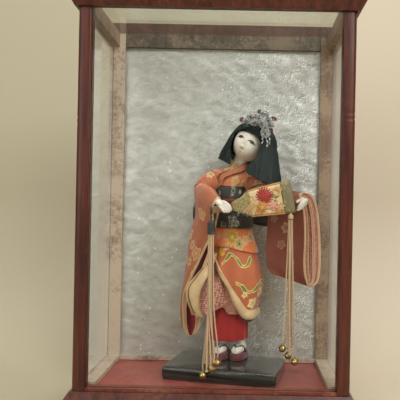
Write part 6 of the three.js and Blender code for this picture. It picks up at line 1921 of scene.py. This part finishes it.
for line in dangles:
    wires.append(sweep(through(line, 20), oval(0.22, 0.22, 8), (1, 0, 0)))
drops = facing([(-0.3, -1, 0.2)] * len(dropTurns), dropTurns)
wires.append(copies(petalShape(3.0, 1.0, 0.22), drops, dangles.reshape(-1, 3) + [0, -0.4, 0]))
putPiece("hairStemsAndDangles", joined(wires), silverLeaf, "silver_foil")
print("ornament set")


# room and light
def wallFinish(name, left, right):  # matt plaster with painted shade: darker at the left, paler towards the right; clear from behind
    material, place = newFinish(name)
    share = axes(place)[0].span(-0.2, 0.2, 0.0, 0.85) + noise(place, 3.0).span(0.3, 0.7, 0.0, 0.15)
    behind = node("NewGeometry", {}, material.node_tree)["Backfacing"]
    return closeFinish(material, mix(share, left, right), 0.85, clear=behind)


room = {"wall": 0.34, "bend": 0.25, "half": 20.0, "front": -20.0, "high": 12.0}  # m
lamps = [  # name, place, size, watts
    ("keyLamp", (0.75, -1.1, 1.15), 0.9, 16.0), ("fillLamp", (-1.0, -1.2, 0.7), 1.1, 7.0),
    ("topLamp", (0.05, -0.1, 1.5), 0.8, 9.0),
]
lampAim, worldTone, worldStrength = (0.0, 0.0, 0.2), (236, 232, 226), 0.35


def makeRoom():  # floor that sweeps up into a wall: a quarter circle between two straights
    t = np.linspace(0, np.pi / 2, 24)
    y = room["wall"] - room["bend"] + room["bend"] * np.sin(t)
    bend = np.stack([y, room["bend"] * (1 - np.cos(t))], 1)
    line = np.vstack([[room["front"], 0], bend, [room["wall"], room["high"]]])
    x = np.linspace(-room["half"], room["half"], 3)[:, None] + 0 * line[:, 0]
    points = np.stack([x, line[:, 0] + 0 * x, line[:, 1] + 0 * x], -1) * 1000
    # the left tone, darker than the right, is painted shade
    meshOf("paleRoom", gridShape(points), wallFinish("paleWall", (186, 177, 150), (206, 193, 170)))


def makeLamps():  # square lamps turned to one aim, and an even light all round
    for name, place, size, watts in lamps:
        data = bpy.data.lights.new(name, "AREA")
        data.shape, data.size, data.energy = "SQUARE", size, watts
        lamp = bpy.data.objects.new(name, data)
        scene.collection.objects.link(lamp)
        away = Vector(place) - Vector(lampAim)
        lamp.matrix_world = Matrix.Translation(place) @ away.to_track_quat("Z", "Y").to_matrix().to_4x4()
    world = bpy.data.worlds.new("paleRoomLight")
    world.use_nodes = True
    scene.world = world
    background = world.node_tree.nodes["Background"]
    background.inputs[0].default_value = tone(worldTone)
    background.inputs[1].default_value = worldStrength


makeRoom()
makeLamps()
print("room lit")
